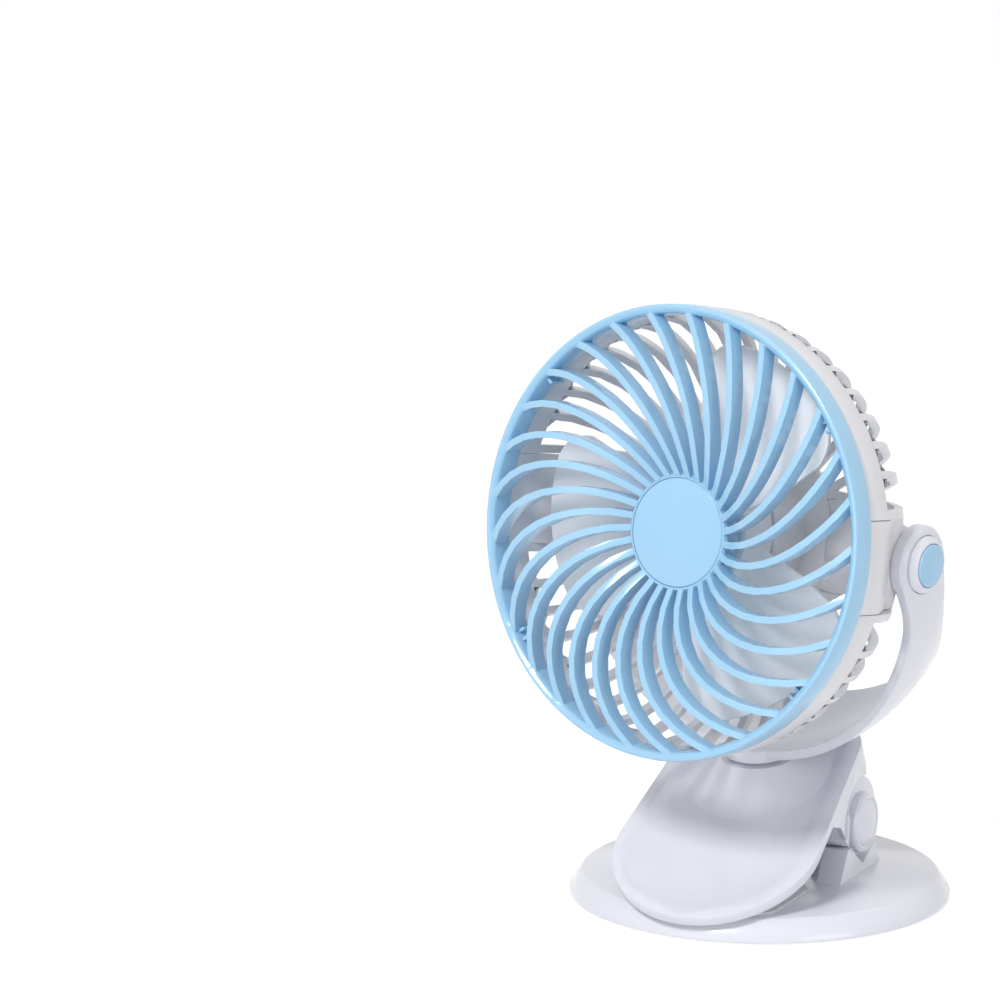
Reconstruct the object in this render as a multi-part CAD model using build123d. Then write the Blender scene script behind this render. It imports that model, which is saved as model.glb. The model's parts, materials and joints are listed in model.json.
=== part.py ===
"""Clip fan: a tilting fan head in a swivelling cradle on a spring clip with a round base.

World frame, millimetres: origin at the centre of the underside of the round base, +Z up,
-Y the side of the jaw tip and of the air stream, +X to the right seen from the front.
Head pieces are drawn on HEAD (local z forward along the fan axis, local x along the tilt
axis), cradle pieces on CRADLE (local z up the swivel axis) and arm pieces on PLATE (local y
up the sloping plate, local z out of its face).
"""
from build123d import *
import math
import os

# ---- driving dimensions: base ------------------------------------------------------------
BASE_RADIUS = 64.0          # rim of the round base
BASE_SKIRT = 4.0            # width of the conical skirt outside the flat top
BASE_TOP_RADIUS = BASE_RADIUS - BASE_SKIRT
BASE_HEIGHT = 8.0           # flat top above the table
BASE_WALL = 2.2
BASE_LIFT = 0.6             # the rim stands this much above the table, on the rubber ring
FOOT_RING_INSET = 10.0      # middle of the rubber ring inside the rim
FOOT_RING_RADIUS = BASE_RADIUS - FOOT_RING_INSET
FOOT_RING_WIDTH = 5.0

# ---- driving dimensions: hinge of the clip -------------------------------------------------
HINGE_Y = 11.6
HINGE_RISE = 17.1           # axis of the pin above the flat top of the base
HINGE_Z = BASE_HEIGHT + HINGE_RISE
PIN_RADIUS = 2.0
EAR_INNER_X = 18.0          # inner face of each base ear
EAR_THICKNESS = 4.0
EAR_ROUND = 6.5
LUG_RADIUS = 11.0           # round lug of the arm around the pin
LUG_INNER_X = 23.0
LUG_OUTER_X = 31.0
SPRING_RADIUS = 4.4
SPRING_WIRE = 0.7
SPRING_PITCH = 1.9
SPRING_TURNS = 6
SPRING_OPENING = 275        # degrees between the legs, past the whole turns
ARCH_RADIUS = 15.6          # notch in the arm's side wall around the lug
HINGE_CAP_RADIUS = 10.3
HINGE_CAP_PROUD = 3.3
SADDLE_GAP = 0.6
PEDESTAL_INNER_X = 24.0
PEDESTAL_OUTER_X = 32.5

# ---- driving dimensions: arm (the pressing plate and upper jaw) -----------------------------
PLATE_SLOPE = 28.0          # degrees above the table
TIP_RADIUS = 35.3
TIP_CENTRE_Y = -35.3
TIP_RISE = 15.6             # centre of the jaw's round tip above the flat top of the base
TIP_CENTRE_Z = BASE_HEIGHT + TIP_RISE
PLATE_LENGTH = 65.0         # tip centre to the rear edge, along the slope
REAR_HALF_WIDTH = 31.3
REAR_CORNER = 12.0
PLATE_CREST = 1.8           # raised border above the reference plane
PLATE_RECESS = 1.1          # inner field below the border
BORDER_WIDTH = 6.8
ARM_WALL = 2.0
JAW_SKIRT = 1.6             # skirt below the reference plane along the jaw
ARM_ROOF = 1.2

# ---- driving dimensions: cradle --------------------------------------------------------------
SWIVEL_LEAN = 8.5           # degrees the swivel axis leans forward
SWIVEL_REST = 12.7          # degrees the head is turned to its right in the rest pose
SEAT_Y = -2.030904          # centre of the cradle's seat in the arm
SEAT_RISE = 5.799735        # seat above the plate's field, straight up
CRADLE_DROP = 7.9           # arc centre below the tilt axis
CRADLE_WALL = 3.0
CRADLE_FRONT = 7.2          # front edge ahead of the swivel axis
CRADLE_REAR = 33.0          # rear edge behind it, at the bottom
EAR_RADIUS = 12.6
PIVOT_CAP_INSET = 3.2       # rim of the ear outside the white cap
PIVOT_CAP_RADIUS = EAR_RADIUS - PIVOT_CAP_INSET
PIVOT_CAP_PROUD = 2.6
CAP_RECESS = 1.6
PIVOT_RADIUS = 4.0          # journal of the head in the ear
INSERT_INSET = 2.4          # rim of the cap outside the coloured disc
INSERT_RADIUS = PIVOT_CAP_RADIUS - INSERT_INSET
INSERT_PROUD = 0.5
BOSS_RADIUS = 8.0
BOSS_TOP_RADIUS = 11.0
BOSS_HEIGHT = 1.6           # gap between the cradle and its seat in the arm
BLISTER_RADIUS = 19.5       # foot of the blister that rises from the plate to the seat
BLISTER_TOP_RADIUS = 12.5
SEAT_RADIUS = 9.6
SEAT_DEPTH = 7.0
SWIVEL_PIN_RADIUS = 3.2
SEAT_GAP = 0.3
WASHER_RADIUS = 5.6         # washer that holds the cradle down from inside the arm

# ---- driving dimensions: head ----------------------------------------------------------------
FRONT_DEPTH = 45.4          # front edge of the ring ahead of the tilt axis
RING_RADIUS = 74.0
RING_WALL = 3.1
RING_INNER = RING_RADIUS - RING_WALL
RING_DEPTH = 8.2
SPOKES = 29
SPOKE_WIDTH = 2.2
SPOKE_DEPTH = 6.0
SPOKE_ARC_RADIUS = 44.75    # plan of a spoke seen from the front
SPOKE_ARC_CENTRE = (8.15, 46.79)
SPOKE_SECTIONS = 11
HUB_RADIUS = 19.4
HUB_RECESS = 6.1            # hub face behind the front edge of the ring
HUB_DEPTH = 9.0
HUB_RIM = 1.6               # rim of the hub outside the inset disc
HUB_DISC_RADIUS = HUB_RADIUS - HUB_RIM
DOME_RADIUS = 52.0          # where the spokes bulge furthest forward
DOME_HEIGHT = 6.0
HOUSING_SETBACK = 0.6       # the housing's plain band lies this far inside the ring's wall
HOUSING_RADIUS = RING_RADIUS - HOUSING_SETBACK
HOUSING_STRAIGHT = 20.0     # depth where the plain wall starts to round off
HOUSING_CORNER = 27.0       # radius of the rounded shoulder
CAP_SEAT_HEIGHT = 7.0       # seat of the rear cap behind the end of the shoulder
HOUSING_DEPTH = HOUSING_STRAIGHT + HOUSING_CORNER + CAP_SEAT_HEIGHT
HOUSING_BACK_SLOPE = 8.0    # degrees the back rises to its middle
HOUSING_WALL = 2.4
SLOT_COUNT = 46
SLOT_FRONT = 19.0
SLOT_INNER_RADIUS = 31.0
RIB_WIDTH = 2.7
RIB_STEP = 0.3              # the ribs lie this much inside the plain band
INNER_STEPS = 4
WINDOW_MARGIN = 2.7         # the window round each pod is this much higher than the ear
WINDOW_HALF = EAR_RADIUS + WINDOW_MARGIN
POD_GAP = 0.3
REAR_CAP_HEIGHT = 3.0
POD_REAR = HOUSING_DEPTH + REAR_CAP_HEIGHT
POD_RECESS_FRONT = EAR_RADIUS - 0.1    # front end of the flat beside the ear
POD_BOX_FRONT = POD_RECESS_FRONT + 1.4  # front face of the box walls inside each pod
POD_RECESS_LENGTH = 32.0
POD_NECK_LENGTH = 13.8
POD_WALL = 1.8
POD_STEP = 3.0
EAR_GAP = 0.3               # between the pod and the ear, and the journal and the cap
NECK_RADIUS = 9.5
EAR_SETBACK = 7.6           # inner faces of the ears inside the housing's side
EAR_INNER = HOUSING_RADIUS - EAR_SETBACK
EAR_WIDTH = 4.6
EAR_OUTER = EAR_INNER + EAR_WIDTH
PIVOT_CAP_FACE = EAR_OUTER + PIVOT_CAP_PROUD
CRADLE_RADIUS = EAR_OUTER + 0.4        # outer arc of the cradle, running up into the ears
POD_INNER_X = EAR_INNER - POD_NECK_LENGTH
COLLAR_RADIUS = 22.0        # motor collar inside the housing
COLLAR_FRONT = 31.0
COLLAR_WALL = 1.8

# ---- driving dimensions: impeller, motor, controls ---------------------------------------------
BLADES = 3
BLADE_CLEARANCE = 9.0       # blade tips inside the housing's wall
BLADE_RADIUS = HOUSING_RADIUS - HOUSING_WALL - BLADE_CLEARANCE
BLADE_THICKNESS = 1.6
BLADE_CAMBER = 1.4
BLADE_STEPS = 5             # straight steps in half a blade's cambered section
IMPELLER_TURN = 70.0        # degrees of the first blade in the rest pose
IMPELLER_HUB_RADIUS = 21.0
IMPELLER_FRONT = 15.5
IMPELLER_REAR = 30.2
SHAFT_RADIUS = 1.5
ROTOR_GAP = 4.0             # outside of the rotor inside the cup's outer wall
ROTOR_RADIUS = IMPELLER_HUB_RADIUS - ROTOR_GAP
STATOR_GAP = 3.0
STATOR_RADIUS = ROTOR_RADIUS - STATOR_GAP
REAR_CAP_LAP = 2.0          # the rear cap reaches this far past the motor collar
REAR_CAP_RADIUS = COLLAR_RADIUS + REAR_CAP_LAP
REAR_CAP_DEPTH = HOUSING_DEPTH + REAR_CAP_HEIGHT
BUTTON_RADIUS = 5.0
BUTTON_TRAVEL = 1.0
BOARD_INSET = 2.6
BOARD_BACK = HOUSING_DEPTH - BOARD_INSET
BOARD_THICKNESS = 1.2
SWITCH_HEIGHT = 1.4
SOCKET_WIDTH = 7.6
SOCKET_HEIGHT = 2.8
SCREW_RADIUS = 1.3
SCREW_HEAD_RADIUS = 2.4

# ---- clearances ------------------------------------------------------------------------------
SHAFT_CLEARANCE = 0.05
SLIDE_CLEARANCE = 0.2
JAW_CLEARANCE = 0.3

# ---- frames ----------------------------------------------------------------------------------
SLOPE = math.radians(PLATE_SLOPE)
LEAN = math.radians(SWIVEL_LEAN)
TURN = math.radians(SWIVEL_REST)
TILT_REST = 16.3            # degrees the fan axis points above the cradle's front
SWIVEL_AXIS = Vector(0, -math.sin(LEAN), math.cos(LEAN))
LEAN_BACK = Vector(0, math.cos(LEAN), math.sin(LEAN))
TILT_AXIS = Vector(1, 0, 0) * math.cos(TURN) - LEAN_BACK * math.sin(TURN)
CRADLE_BACK = SWIVEL_AXIS.cross(TILT_AXIS)
FAN_AXIS = (CRADLE_BACK * -math.cos(math.radians(TILT_REST))
            + SWIVEL_AXIS * math.sin(math.radians(TILT_REST)))
CRADLE_BOTTOM = CRADLE_DROP + CRADLE_RADIUS
SEAT_Z = (TIP_CENTRE_Z + (SEAT_Y - TIP_CENTRE_Y) * math.tan(SLOPE)
          + (PLATE_CREST - PLATE_RECESS) / math.cos(SLOPE) + SEAT_RISE)
TILT_CENTRE = Vector(0, SEAT_Y, SEAT_Z) + SWIVEL_AXIS * (CRADLE_BOTTOM + BOSS_HEIGHT)

PLATE = Plane(origin=(0, TIP_CENTRE_Y, TIP_CENTRE_Z), x_dir=(1, 0, 0),
              z_dir=(0, -math.sin(SLOPE), math.cos(SLOPE)))
CRADLE = Plane(origin=TILT_CENTRE, x_dir=TILT_AXIS, z_dir=SWIVEL_AXIS)
HEAD = Plane(origin=TILT_CENTRE, x_dir=TILT_AXIS, z_dir=FAN_AXIS)
SIDE = Plane(origin=(0, 0, 0), x_dir=(0, 1, 0), z_dir=(1, 0, 0))


# ---- helpers -----------------------------------------------------------------------------------
def depth(value):
    """Local z on HEAD of a point this far behind the front edge of the ring."""
    return FRONT_DEPTH - value


def rod(radius, start, end, x=0.0, y=0.0):
    """Cylinder along local z from start to end."""
    return Pos(x, y, min(start, end)) * Cylinder(
        radius, abs(end - start), align=(Align.CENTER, Align.CENTER, Align.MIN))


def cross_rod(radius, x_start, x_end, y=HINGE_Y, z=HINGE_Z):
    """Cylinder along world x, by default on the axis of the clip's hinge."""
    frame = Plane(origin=(x_start, y, z), x_dir=(0, 1, 0), z_dir=(1, 0, 0))
    return frame.location * rod(radius, 0, x_end - x_start)


def side_slab(face, x_start, x_end):
    """Extrude a face drawn on the side plane from x_start to x_end."""
    return Pos(x_start, 0, 0) * extrude(SIDE * face, x_end - x_start, dir=(1, 0, 0))


def both_sides(part):
    """The part with its mirror image in the plane x = 0."""
    return part + mirror(part, about=Plane.YZ)


def spun(points, frame=Plane.XZ):
    """Solid of revolution of a closed polyline given as (radius, height)."""
    return revolve(frame * make_face(Polyline(*points, close=True)), axis=Axis.Z)


def screw(length, x=0.0, y=0.0, z=0.0, head=1.4):
    """Flat head screw, head up, the seat of its head at z."""
    return rod(SCREW_RADIUS, z - length, z, x, y) + rod(SCREW_HEAD_RADIUS, z, z + head, x, y)


def save(name, part, frame=None):
    """Write one node as a STEP file, moved from its own frame to the world."""
    os.makedirs("parts", exist_ok=True)
    solid = part if frame is None else frame.location * part
    solid.label = name
    export_step(solid, f"parts/{name}.step")
    print(f"{name:22s} solids {len(solid.solids()):3d}  volume {solid.volume:9.1f}")


# ---- base ----------------------------------------------------------------------------------------
def pedestal_profile():
    """Outer pedestal seen from the side: a wedge with a saddle under the arm's lug."""
    foot = BASE_HEIGHT - 1.0
    wedge = make_face(Polyline((HINGE_Y - 20.1, foot), (HINGE_Y - 12.8, HINGE_Z - 6.8),
                               (HINGE_Y - 9.0, HINGE_Z - 6.8), (HINGE_Y - 4.7, HINGE_Z - 10.9),
                               (HINGE_Y + 0.8, HINGE_Z - 14.5), (HINGE_Y + 10.2, HINGE_Z - 9.9),
                               (HINGE_Y + 12.0, HINGE_Z - 9.9), (HINGE_Y + 16.3, foot),
                               close=True))
    saddle = Pos(HINGE_Y, HINGE_Z) * Circle(LUG_RADIUS + SADDLE_GAP)
    return wedge - saddle


def ear_profile():
    """Inner ear seen from the side: a triangle that ends in a round eye on the pin."""
    foot = make_face(Polyline((HINGE_Y - 11, BASE_HEIGHT - 1.0), (HINGE_Y - 6.2, HINGE_Z + 2),
                              (HINGE_Y + 6.2, HINGE_Z + 2), (HINGE_Y + 11, BASE_HEIGHT - 1.0),
                              close=True))
    return foot + Pos(HINGE_Y, HINGE_Z) * Circle(EAR_ROUND)


def base_shell():
    """Round base with conical skirt, open below, with pedestals and hinge ears."""
    outer = spun([(0, BASE_LIFT), (BASE_RADIUS, BASE_LIFT), (BASE_RADIUS, BASE_LIFT + 1.2),
                  (BASE_TOP_RADIUS + 0.3, BASE_HEIGHT - 0.6), (BASE_TOP_RADIUS - 0.8, BASE_HEIGHT),
                  (0, BASE_HEIGHT)])
    inner_radius = BASE_RADIUS - BASE_WALL
    roof = BASE_HEIGHT - BASE_WALL
    hollow = spun([(0, 0), (inner_radius, 0), (inner_radius, BASE_LIFT + 1.0),
                   (BASE_TOP_RADIUS - BASE_WALL, roof), (0, roof)])
    shell = outer - hollow
    shell += both_sides(side_slab(pedestal_profile(), PEDESTAL_INNER_X, PEDESTAL_OUTER_X))
    shell += both_sides(side_slab(ear_profile(), EAR_INNER_X, EAR_INNER_X + EAR_THICKNESS))
    for x, y in base_screw_places():
        shell += rod(3.2, BASE_LIFT + BASE_WALL, roof + 0.5, x, y)
        shell -= rod(SCREW_RADIUS, 0, roof - 0.5, x, y)
    eye = cross_rod(PIN_RADIUS + SHAFT_CLEARANCE, -EAR_INNER_X - 9, EAR_INNER_X + 9)
    jaw = arm_block(-JAW_CLEARANCE, bottom=-JAW_SKIRT - JAW_CLEARANCE) & Pos(
        0, TIP_CENTRE_Y, 0) * Box(200, 200, 200, align=(Align.CENTER, Align.MAX, Align.CENTER))
    return shell - eye - jaw


def base_screw_places():
    """Four screws that hold the bottom cover."""
    return [(x, y) for x in (-32, 32) for y in (-30, 34)]


def base_cover():
    """Flat bottom cover inside the rim, grooved for the rubber ring."""
    radius = BASE_RADIUS - BASE_WALL - 0.3
    top = BASE_LIFT + BASE_WALL
    plate = spun([(0, BASE_LIFT), (radius, BASE_LIFT), (radius, BASE_LIFT + 0.9),
                  (radius - 2.2, top), (0, top)])
    groove = rod(FOOT_RING_RADIUS + FOOT_RING_WIDTH / 2, 0, BASE_LIFT + 1.0)
    groove -= rod(FOOT_RING_RADIUS - FOOT_RING_WIDTH / 2, 0, BASE_LIFT + 1.0)
    plate -= groove
    for x, y in base_screw_places():
        plate -= rod(SCREW_RADIUS + 0.2, 0, 4, x, y)
        plate -= rod(SCREW_HEAD_RADIUS + 0.3, 0, BASE_LIFT + 1.2, x, y)
    return plate


def foot_ring():
    """Non-slip rubber ring that the fan stands on."""
    outer = FOOT_RING_RADIUS + FOOT_RING_WIDTH / 2
    inner = FOOT_RING_RADIUS - FOOT_RING_WIDTH / 2
    ring = rod(outer, 0, BASE_LIFT + 1.0) - rod(inner, 0, BASE_LIFT + 1.0)
    return chamfer(ring.edges().filter_by(GeomType.CIRCLE).group_by(Axis.Z)[0], 0.3)


def base_screws():
    """Screws from below, heads sunk in the bottom cover."""
    down = Plane(origin=(0, 0, 0), x_dir=(1, 0, 0), z_dir=(0, 0, -1))
    seat = -(BASE_LIFT + 1.2)
    return Compound([down.location * screw(3.4, x, -y, seat, 1.0)
                     for x, y in base_screw_places()])


def lower_grip():
    """Ribbed rubber sheet on the base, under the jaw."""
    sheet = Pos(0, -34, BASE_HEIGHT) * Box(
        52, 40, 1.0, align=(Align.CENTER, Align.CENTER, Align.MIN))
    sheet = fillet(sheet.edges().filter_by(Axis.Z), 8)
    ribs = [Pos(0, -50 + 4 * i, BASE_HEIGHT + 1.0) * Box(
        44, 1.6, 0.9, align=(Align.CENTER, Align.CENTER, Align.MIN)) for i in range(9)]
    return (sheet + ribs) & rod(BASE_TOP_RADIUS - 1.8, 0, 20)


def hinge_pin():
    """Steel pin through the base ears and the lugs of the arm."""
    half = LUG_OUTER_X - 1.5
    pin = cross_rod(PIN_RADIUS, -half, half)
    return chamfer(pin.edges().filter_by(GeomType.CIRCLE), 0.4)


def coil_point(angle):
    """Point on the coil, its axis along z, at this many degrees from its start."""
    turn = math.radians(angle)
    return Vector(SPRING_RADIUS * math.cos(turn), SPRING_RADIUS * math.sin(turn),
                  SPRING_PITCH * angle / 360)


def torsion_spring():
    """Coil round the pin; its legs press the base down and the rear of the arm up."""
    sweep_angle = 360 * SPRING_TURNS + SPRING_OPENING
    quarters = round(sweep_angle / 90)
    step = sweep_angle / quarters
    arcs = [ThreePointArc(coil_point(step * i), coil_point(step * (i + 0.5)),
                          coil_point(step * (i + 1))) for i in range(quarters)]
    low_leg = Line(arcs[0] @ 0 - (arcs[0] % 0) * 25.4, arcs[0] @ 0)
    high_leg = Line(arcs[-1] @ 1, arcs[-1] @ 1 + (arcs[-1] % 1) * 18.0)
    path = Wire([low_leg.edge()] + [arc.edge() for arc in arcs] + [high_leg.edge()])
    start = Plane(origin=low_leg @ 0, z_dir=low_leg % 0)
    tube = sweep(start * RegularPolygon(SPRING_WIRE, 8), path=path)
    print(f"spring least gap between turns {SPRING_PITCH - 2 * SPRING_WIRE:.2f} mm")
    length = SPRING_PITCH * sweep_angle / 360
    placed = Plane(origin=(-length / 2, HINGE_Y, HINGE_Z), x_dir=(0, 1, 0), z_dir=(1, 0, 0))
    return placed.location * Rot(0, 0, 40) * tube


# ---- arm -----------------------------------------------------------------------------------------
def plate_outline(inset=0.0):
    """Long rounded outline of the plate: a wide round jaw and a narrower rear end."""
    corner = REAR_CORNER - inset
    tip = Circle(TIP_RADIUS - inset)
    x = REAR_HALF_WIDTH - REAR_CORNER
    y = PLATE_LENGTH - REAR_CORNER
    rounds = tip + Pos(x, y) * Circle(corner) + Pos(-x, y) * Circle(corner)
    return make_hull(rounds.edges())


def plate_z(y, offset=0.0):
    """World z of the plate's reference plane at y, moved out of the plane by offset."""
    return TIP_CENTRE_Z + (y - TIP_CENTRE_Y) * math.tan(SLOPE) + offset / math.cos(SLOPE)


def arm_side():
    """Side view of the arm's body: thin jaw in front, deep side wall at the hinge."""
    front = TIP_CENTRE_Y - TIP_RADIUS - 4
    knee = HINGE_Y - 30.0
    rear = HINGE_Y + 11.5
    return make_face(Polyline(
        (front, plate_z(front, -JAW_SKIRT)), (knee, plate_z(knee, -JAW_SKIRT)),
        (HINGE_Y - 22.0, HINGE_Z + 3.4), (HINGE_Y - 11.9, HINGE_Z - 5.7),
        (HINGE_Y, HINGE_Z - 5.7), (HINGE_Y + 2.5, HINGE_Z + 8), (rear, 55.0),
        (rear + 3, 70.0), (front, 70.0), close=True))


def arm_block(inset=0.0, top=PLATE_CREST, bottom=-40.0):
    """Prism of the plate's outline, placed in the world."""
    prism = extrude(plate_outline(inset), top - bottom)
    return PLATE.location * (Pos(0, 0, bottom) * prism)


def swivel_place(distance):
    """Frame on the swivel axis this far below the tilt centre, z up the axis."""
    return Plane(origin=TILT_CENTRE - SWIVEL_AXIS * distance, x_dir=(1, 0, 0),
                 z_dir=SWIVEL_AXIS)


def arm_top_shell():
    """Upper shell: bordered plate, jaw skirt, side walls with the arch, swivel seat."""
    body = arm_block() & side_slab(arm_side(), -50, 50)
    field = PLATE.offset(PLATE_CREST - PLATE_RECESS)
    body -= field.location * extrude(plate_outline(BORDER_WIDTH), 5)
    body -= arm_block(ARM_WALL, PLATE_CREST - PLATE_RECESS - ARM_ROOF)
    body -= cross_rod(ARCH_RADIUS, -50, 50)
    seat = swivel_place(CRADLE_BOTTOM + BOSS_HEIGHT)
    body += seat.location * rod(SEAT_RADIUS, -SEAT_DEPTH, -1.0)
    body += blister(seat, field)
    body -= seat.location * rod(WASHER_RADIUS + 0.6, -20, -SEAT_DEPTH)
    body -= seat.location * rod(SWIVEL_PIN_RADIUS + SHAFT_CLEARANCE, -14, 1)
    roof = PLATE_CREST - PLATE_RECESS - ARM_ROOF
    for x, y in arm_screw_places():
        body += PLATE.location * rod(2.9, roof - 0.15, roof + 0.1, x, y)
        body -= PLATE.location * rod(SCREW_RADIUS, -2.4, roof + 0.7, x, y)
    return body


def blister(seat, field):
    """Round rise of the plate's field up to the seat of the cradle."""
    reach = (field.origin - seat.origin).dot(field.z_dir) / seat.z_dir.dot(field.z_dir)
    foot = Plane(origin=seat.origin + seat.z_dir * reach, x_dir=(1, 0, 0), z_dir=field.z_dir)
    return loft([foot.offset(-0.4) * Circle(BLISTER_RADIUS), seat * Circle(BLISTER_TOP_RADIUS)],
                ruled=True)


def arm_screw_places():
    """Screws between the two arm shells, in plate coordinates."""
    return [(-20, 8), (20, 8), (0, 20)]


def lug_profile():
    """Teardrop lug seen from the side: round below, full arch above, sloping front."""
    rise = make_face(Polyline(
        (HINGE_Y - 8.9, HINGE_Z - 6.46), (HINGE_Y - 11.9, HINGE_Z - 5.7),
        (HINGE_Y - 22.0, HINGE_Z + 3.4), (HINGE_Y - 22.0, HINGE_Z + 20),
        (HINGE_Y + 20, HINGE_Z + 20), (HINGE_Y + 20, HINGE_Z),
        (HINGE_Y, HINGE_Z), close=True))
    arch = Pos(HINGE_Y, HINGE_Z) * Circle(ARCH_RADIUS - 0.3)
    return Pos(HINGE_Y, HINGE_Z) * Circle(LUG_RADIUS) + (arch & rise)


def arm_lower_shell():
    """Lower shell: closes the plate from below and carries the hinge lugs."""
    gap = 0.15
    roof = PLATE_CREST - PLATE_RECESS - ARM_ROOF - gap
    inside = arm_block(ARM_WALL + gap, roof)
    closing = arm_block(ARM_WALL + gap, roof, -JAW_SKIRT)
    web = make_face(Polyline(
        (HINGE_Y - 14.0, HINGE_Z + 5), (HINGE_Y, HINGE_Z - 4), (HINGE_Y + 7.5, HINGE_Z + 4),
        (HINGE_Y + 7.5, HINGE_Z + 50), (HINGE_Y - 14.0, HINGE_Z + 50), close=True))
    webs = both_sides(side_slab(web, LUG_INNER_X, LUG_INNER_X + 3.0)) & inside
    lugs = both_sides(side_slab(lug_profile(), LUG_INNER_X, LUG_OUTER_X))
    eye = cross_rod(PIN_RADIUS + SHAFT_CLEARANCE, -LUG_OUTER_X + 1.4, LUG_OUTER_X - 1.4)
    body = closing + webs + lugs - eye
    seat = swivel_place(CRADLE_BOTTOM + BOSS_HEIGHT)
    body -= seat.location * rod(SEAT_RADIUS + 0.3, -20, 5)
    for x, y in arm_screw_places():
        body -= PLATE.location * rod(SCREW_RADIUS + 0.15, -6, 1, x, y)
    return body


def jaw_pad():
    """Rubber pad with level steps under the sloping jaw."""
    step, rise = 4.8, 2.5
    front = TIP_CENTRE_Y - 20.2
    low = BASE_HEIGHT + 2.2
    stairs = []
    for index in range(4):
        stairs += [(front + step * index, low + rise * index),
                   (front + step * (index + 1), low + rise * index)]
    stairs += [(front + step * 4, 60), (front, 60)]
    block = side_slab(make_face(Polyline(*stairs, close=True)), -20, 20)
    under = Pos(0, 0, -JAW_SKIRT - 20) * Box(120, 160, 40)
    return block & PLATE.location * under


def hinge_cap():
    """Round cover of the hinge with an inset disc, right-hand side."""
    outer, proud = HINGE_CAP_RADIUS, HINGE_CAP_PROUD
    groove = outer * 0.82
    cap = spun([(0, 0), (outer, 0), (outer, proud - 1.0), (outer - 0.8, proud),
                (groove, proud), (groove - 0.3, proud - 0.4), (groove - 0.6, proud), (0, proud)])
    return Plane(origin=(LUG_OUTER_X, HINGE_Y, HINGE_Z), z_dir=(1, 0, 0)).location * cap


def arm_screws():
    """Screws from below into the upper shell."""
    frame = PLATE.offset(-JAW_SKIRT)
    down = Plane(origin=frame.origin, x_dir=(1, 0, 0), z_dir=-frame.z_dir)
    return Compound([down.location * screw(1.6, x, -y, 0.0, 1.0)
                     for x, y in arm_screw_places()])


# ---- cradle --------------------------------------------------------------------------------------
def bowl(radius):
    """Round bowl that the cradle is cut from, its centre below the tilt axis."""
    return Pos(0, 0, -CRADLE_DROP) * Sphere(radius)


def cradle_trim():
    """Plan of the cradle from the side: straight front edge, rear edge swept to the ears."""
    low = -(CRADLE_BOTTOM + 10)
    rear = Spline((EAR_RADIUS - 0.6, -4.0), (12.5, -18.0), (18.0, -36.0), (30.0, -56.0),
                  (CRADLE_REAR, -70.0), tangents=((0, -1), (0.1, -1)))
    outline = Curve() + [
        rear, Line(rear @ 1, (CRADLE_REAR + 0.5, low)),
        Line((CRADLE_REAR + 0.5, low), (-CRADLE_FRONT, low)),
        Line((-CRADLE_FRONT, low), (-CRADLE_FRONT, -24.0)),
        Spline((-CRADLE_FRONT, -24.0), (-EAR_RADIUS + 0.6, -4.0),
               tangents=((0, 1), (-0.2, 1))),
        Line((-EAR_RADIUS + 0.6, -4.0), rear @ 0)]
    side = Plane(origin=(-100, 0, 0), x_dir=(0, 1, 0), z_dir=(1, 0, 0))
    return extrude(side * make_face(outline), 200)


def cradle():
    """Bowl-shaped yoke with round ears on the tilt axis and a boss on the swivel axis."""
    lower = Pos(0, 0, 2.0) * Box(200, 200, 100, align=(Align.CENTER, Align.CENTER, Align.MAX))
    shell = (bowl(CRADLE_RADIUS) & lower & cradle_trim()) - bowl(CRADLE_RADIUS - CRADLE_WALL)
    ear_frame = Plane(origin=(EAR_INNER, 0, 0), x_dir=(0, 1, 0), z_dir=(1, 0, 0))
    ear = ear_frame.location * rod(EAR_RADIUS, 0, EAR_OUTER - EAR_INNER)
    outer = ear.edges().filter_by(GeomType.CIRCLE).sort_by(Axis.X)[-1]
    ear = chamfer(outer, 1.2)
    shell += ear + mirror(ear, about=Plane.YZ)
    boss = rod(BOSS_TOP_RADIUS, -CRADLE_BOTTOM - 0.4, -CRADLE_BOTTOM + 4.5)
    boss = boss - bowl(CRADLE_RADIUS - CRADLE_WALL)
    foot = -CRADLE_BOTTOM - BOSS_HEIGHT
    neck = rod(BOSS_RADIUS, foot + SEAT_GAP, -CRADLE_BOTTOM + 1.5)
    pin = rod(SWIVEL_PIN_RADIUS, foot - SEAT_DEPTH - 0.2, -CRADLE_BOTTOM + 1.5)
    shell += boss + neck + pin
    clear = rod(PIVOT_RADIUS + SHAFT_CLEARANCE, -12, 9)
    clear += rod(PIVOT_CAP_RADIUS + 0.2, EAR_OUTER - EAR_INNER - CAP_RECESS, 9)
    shell -= both_sides(ear_frame.location * clear)
    return shell - rod(SCREW_RADIUS, foot - SEAT_DEPTH - 1, foot + 3)


def swivel_screw():
    """Screw with a broad washer that holds the boss down in the arm."""
    top = -CRADLE_BOTTOM - BOSS_HEIGHT - SEAT_DEPTH - 0.2
    washer = rod(WASHER_RADIUS, top - 1.0, top)
    shank = rod(SCREW_RADIUS, top - 0.2, top + 8.0)
    head = rod(2.6, top - 2.6, top - 1.0)
    return washer + shank + head


def pivot_cap():
    """White domed cap in the ear's recess, right-hand side."""
    base = EAR_OUTER - CAP_RECESS
    profile = make_face(Polyline((0, base), (PIVOT_CAP_RADIUS, base),
                                 (PIVOT_CAP_RADIUS, base + 2.4), (INSERT_RADIUS + 0.9, PIVOT_CAP_FACE),
                                 (INSERT_RADIUS + 0.15, PIVOT_CAP_FACE),
                                 (INSERT_RADIUS + 0.15, PIVOT_CAP_FACE - 1.2),
                                 (0, PIVOT_CAP_FACE - 1.2), close=True))
    return SIDE.location * revolve(Plane.XZ * profile, axis=Axis.Z)


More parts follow.
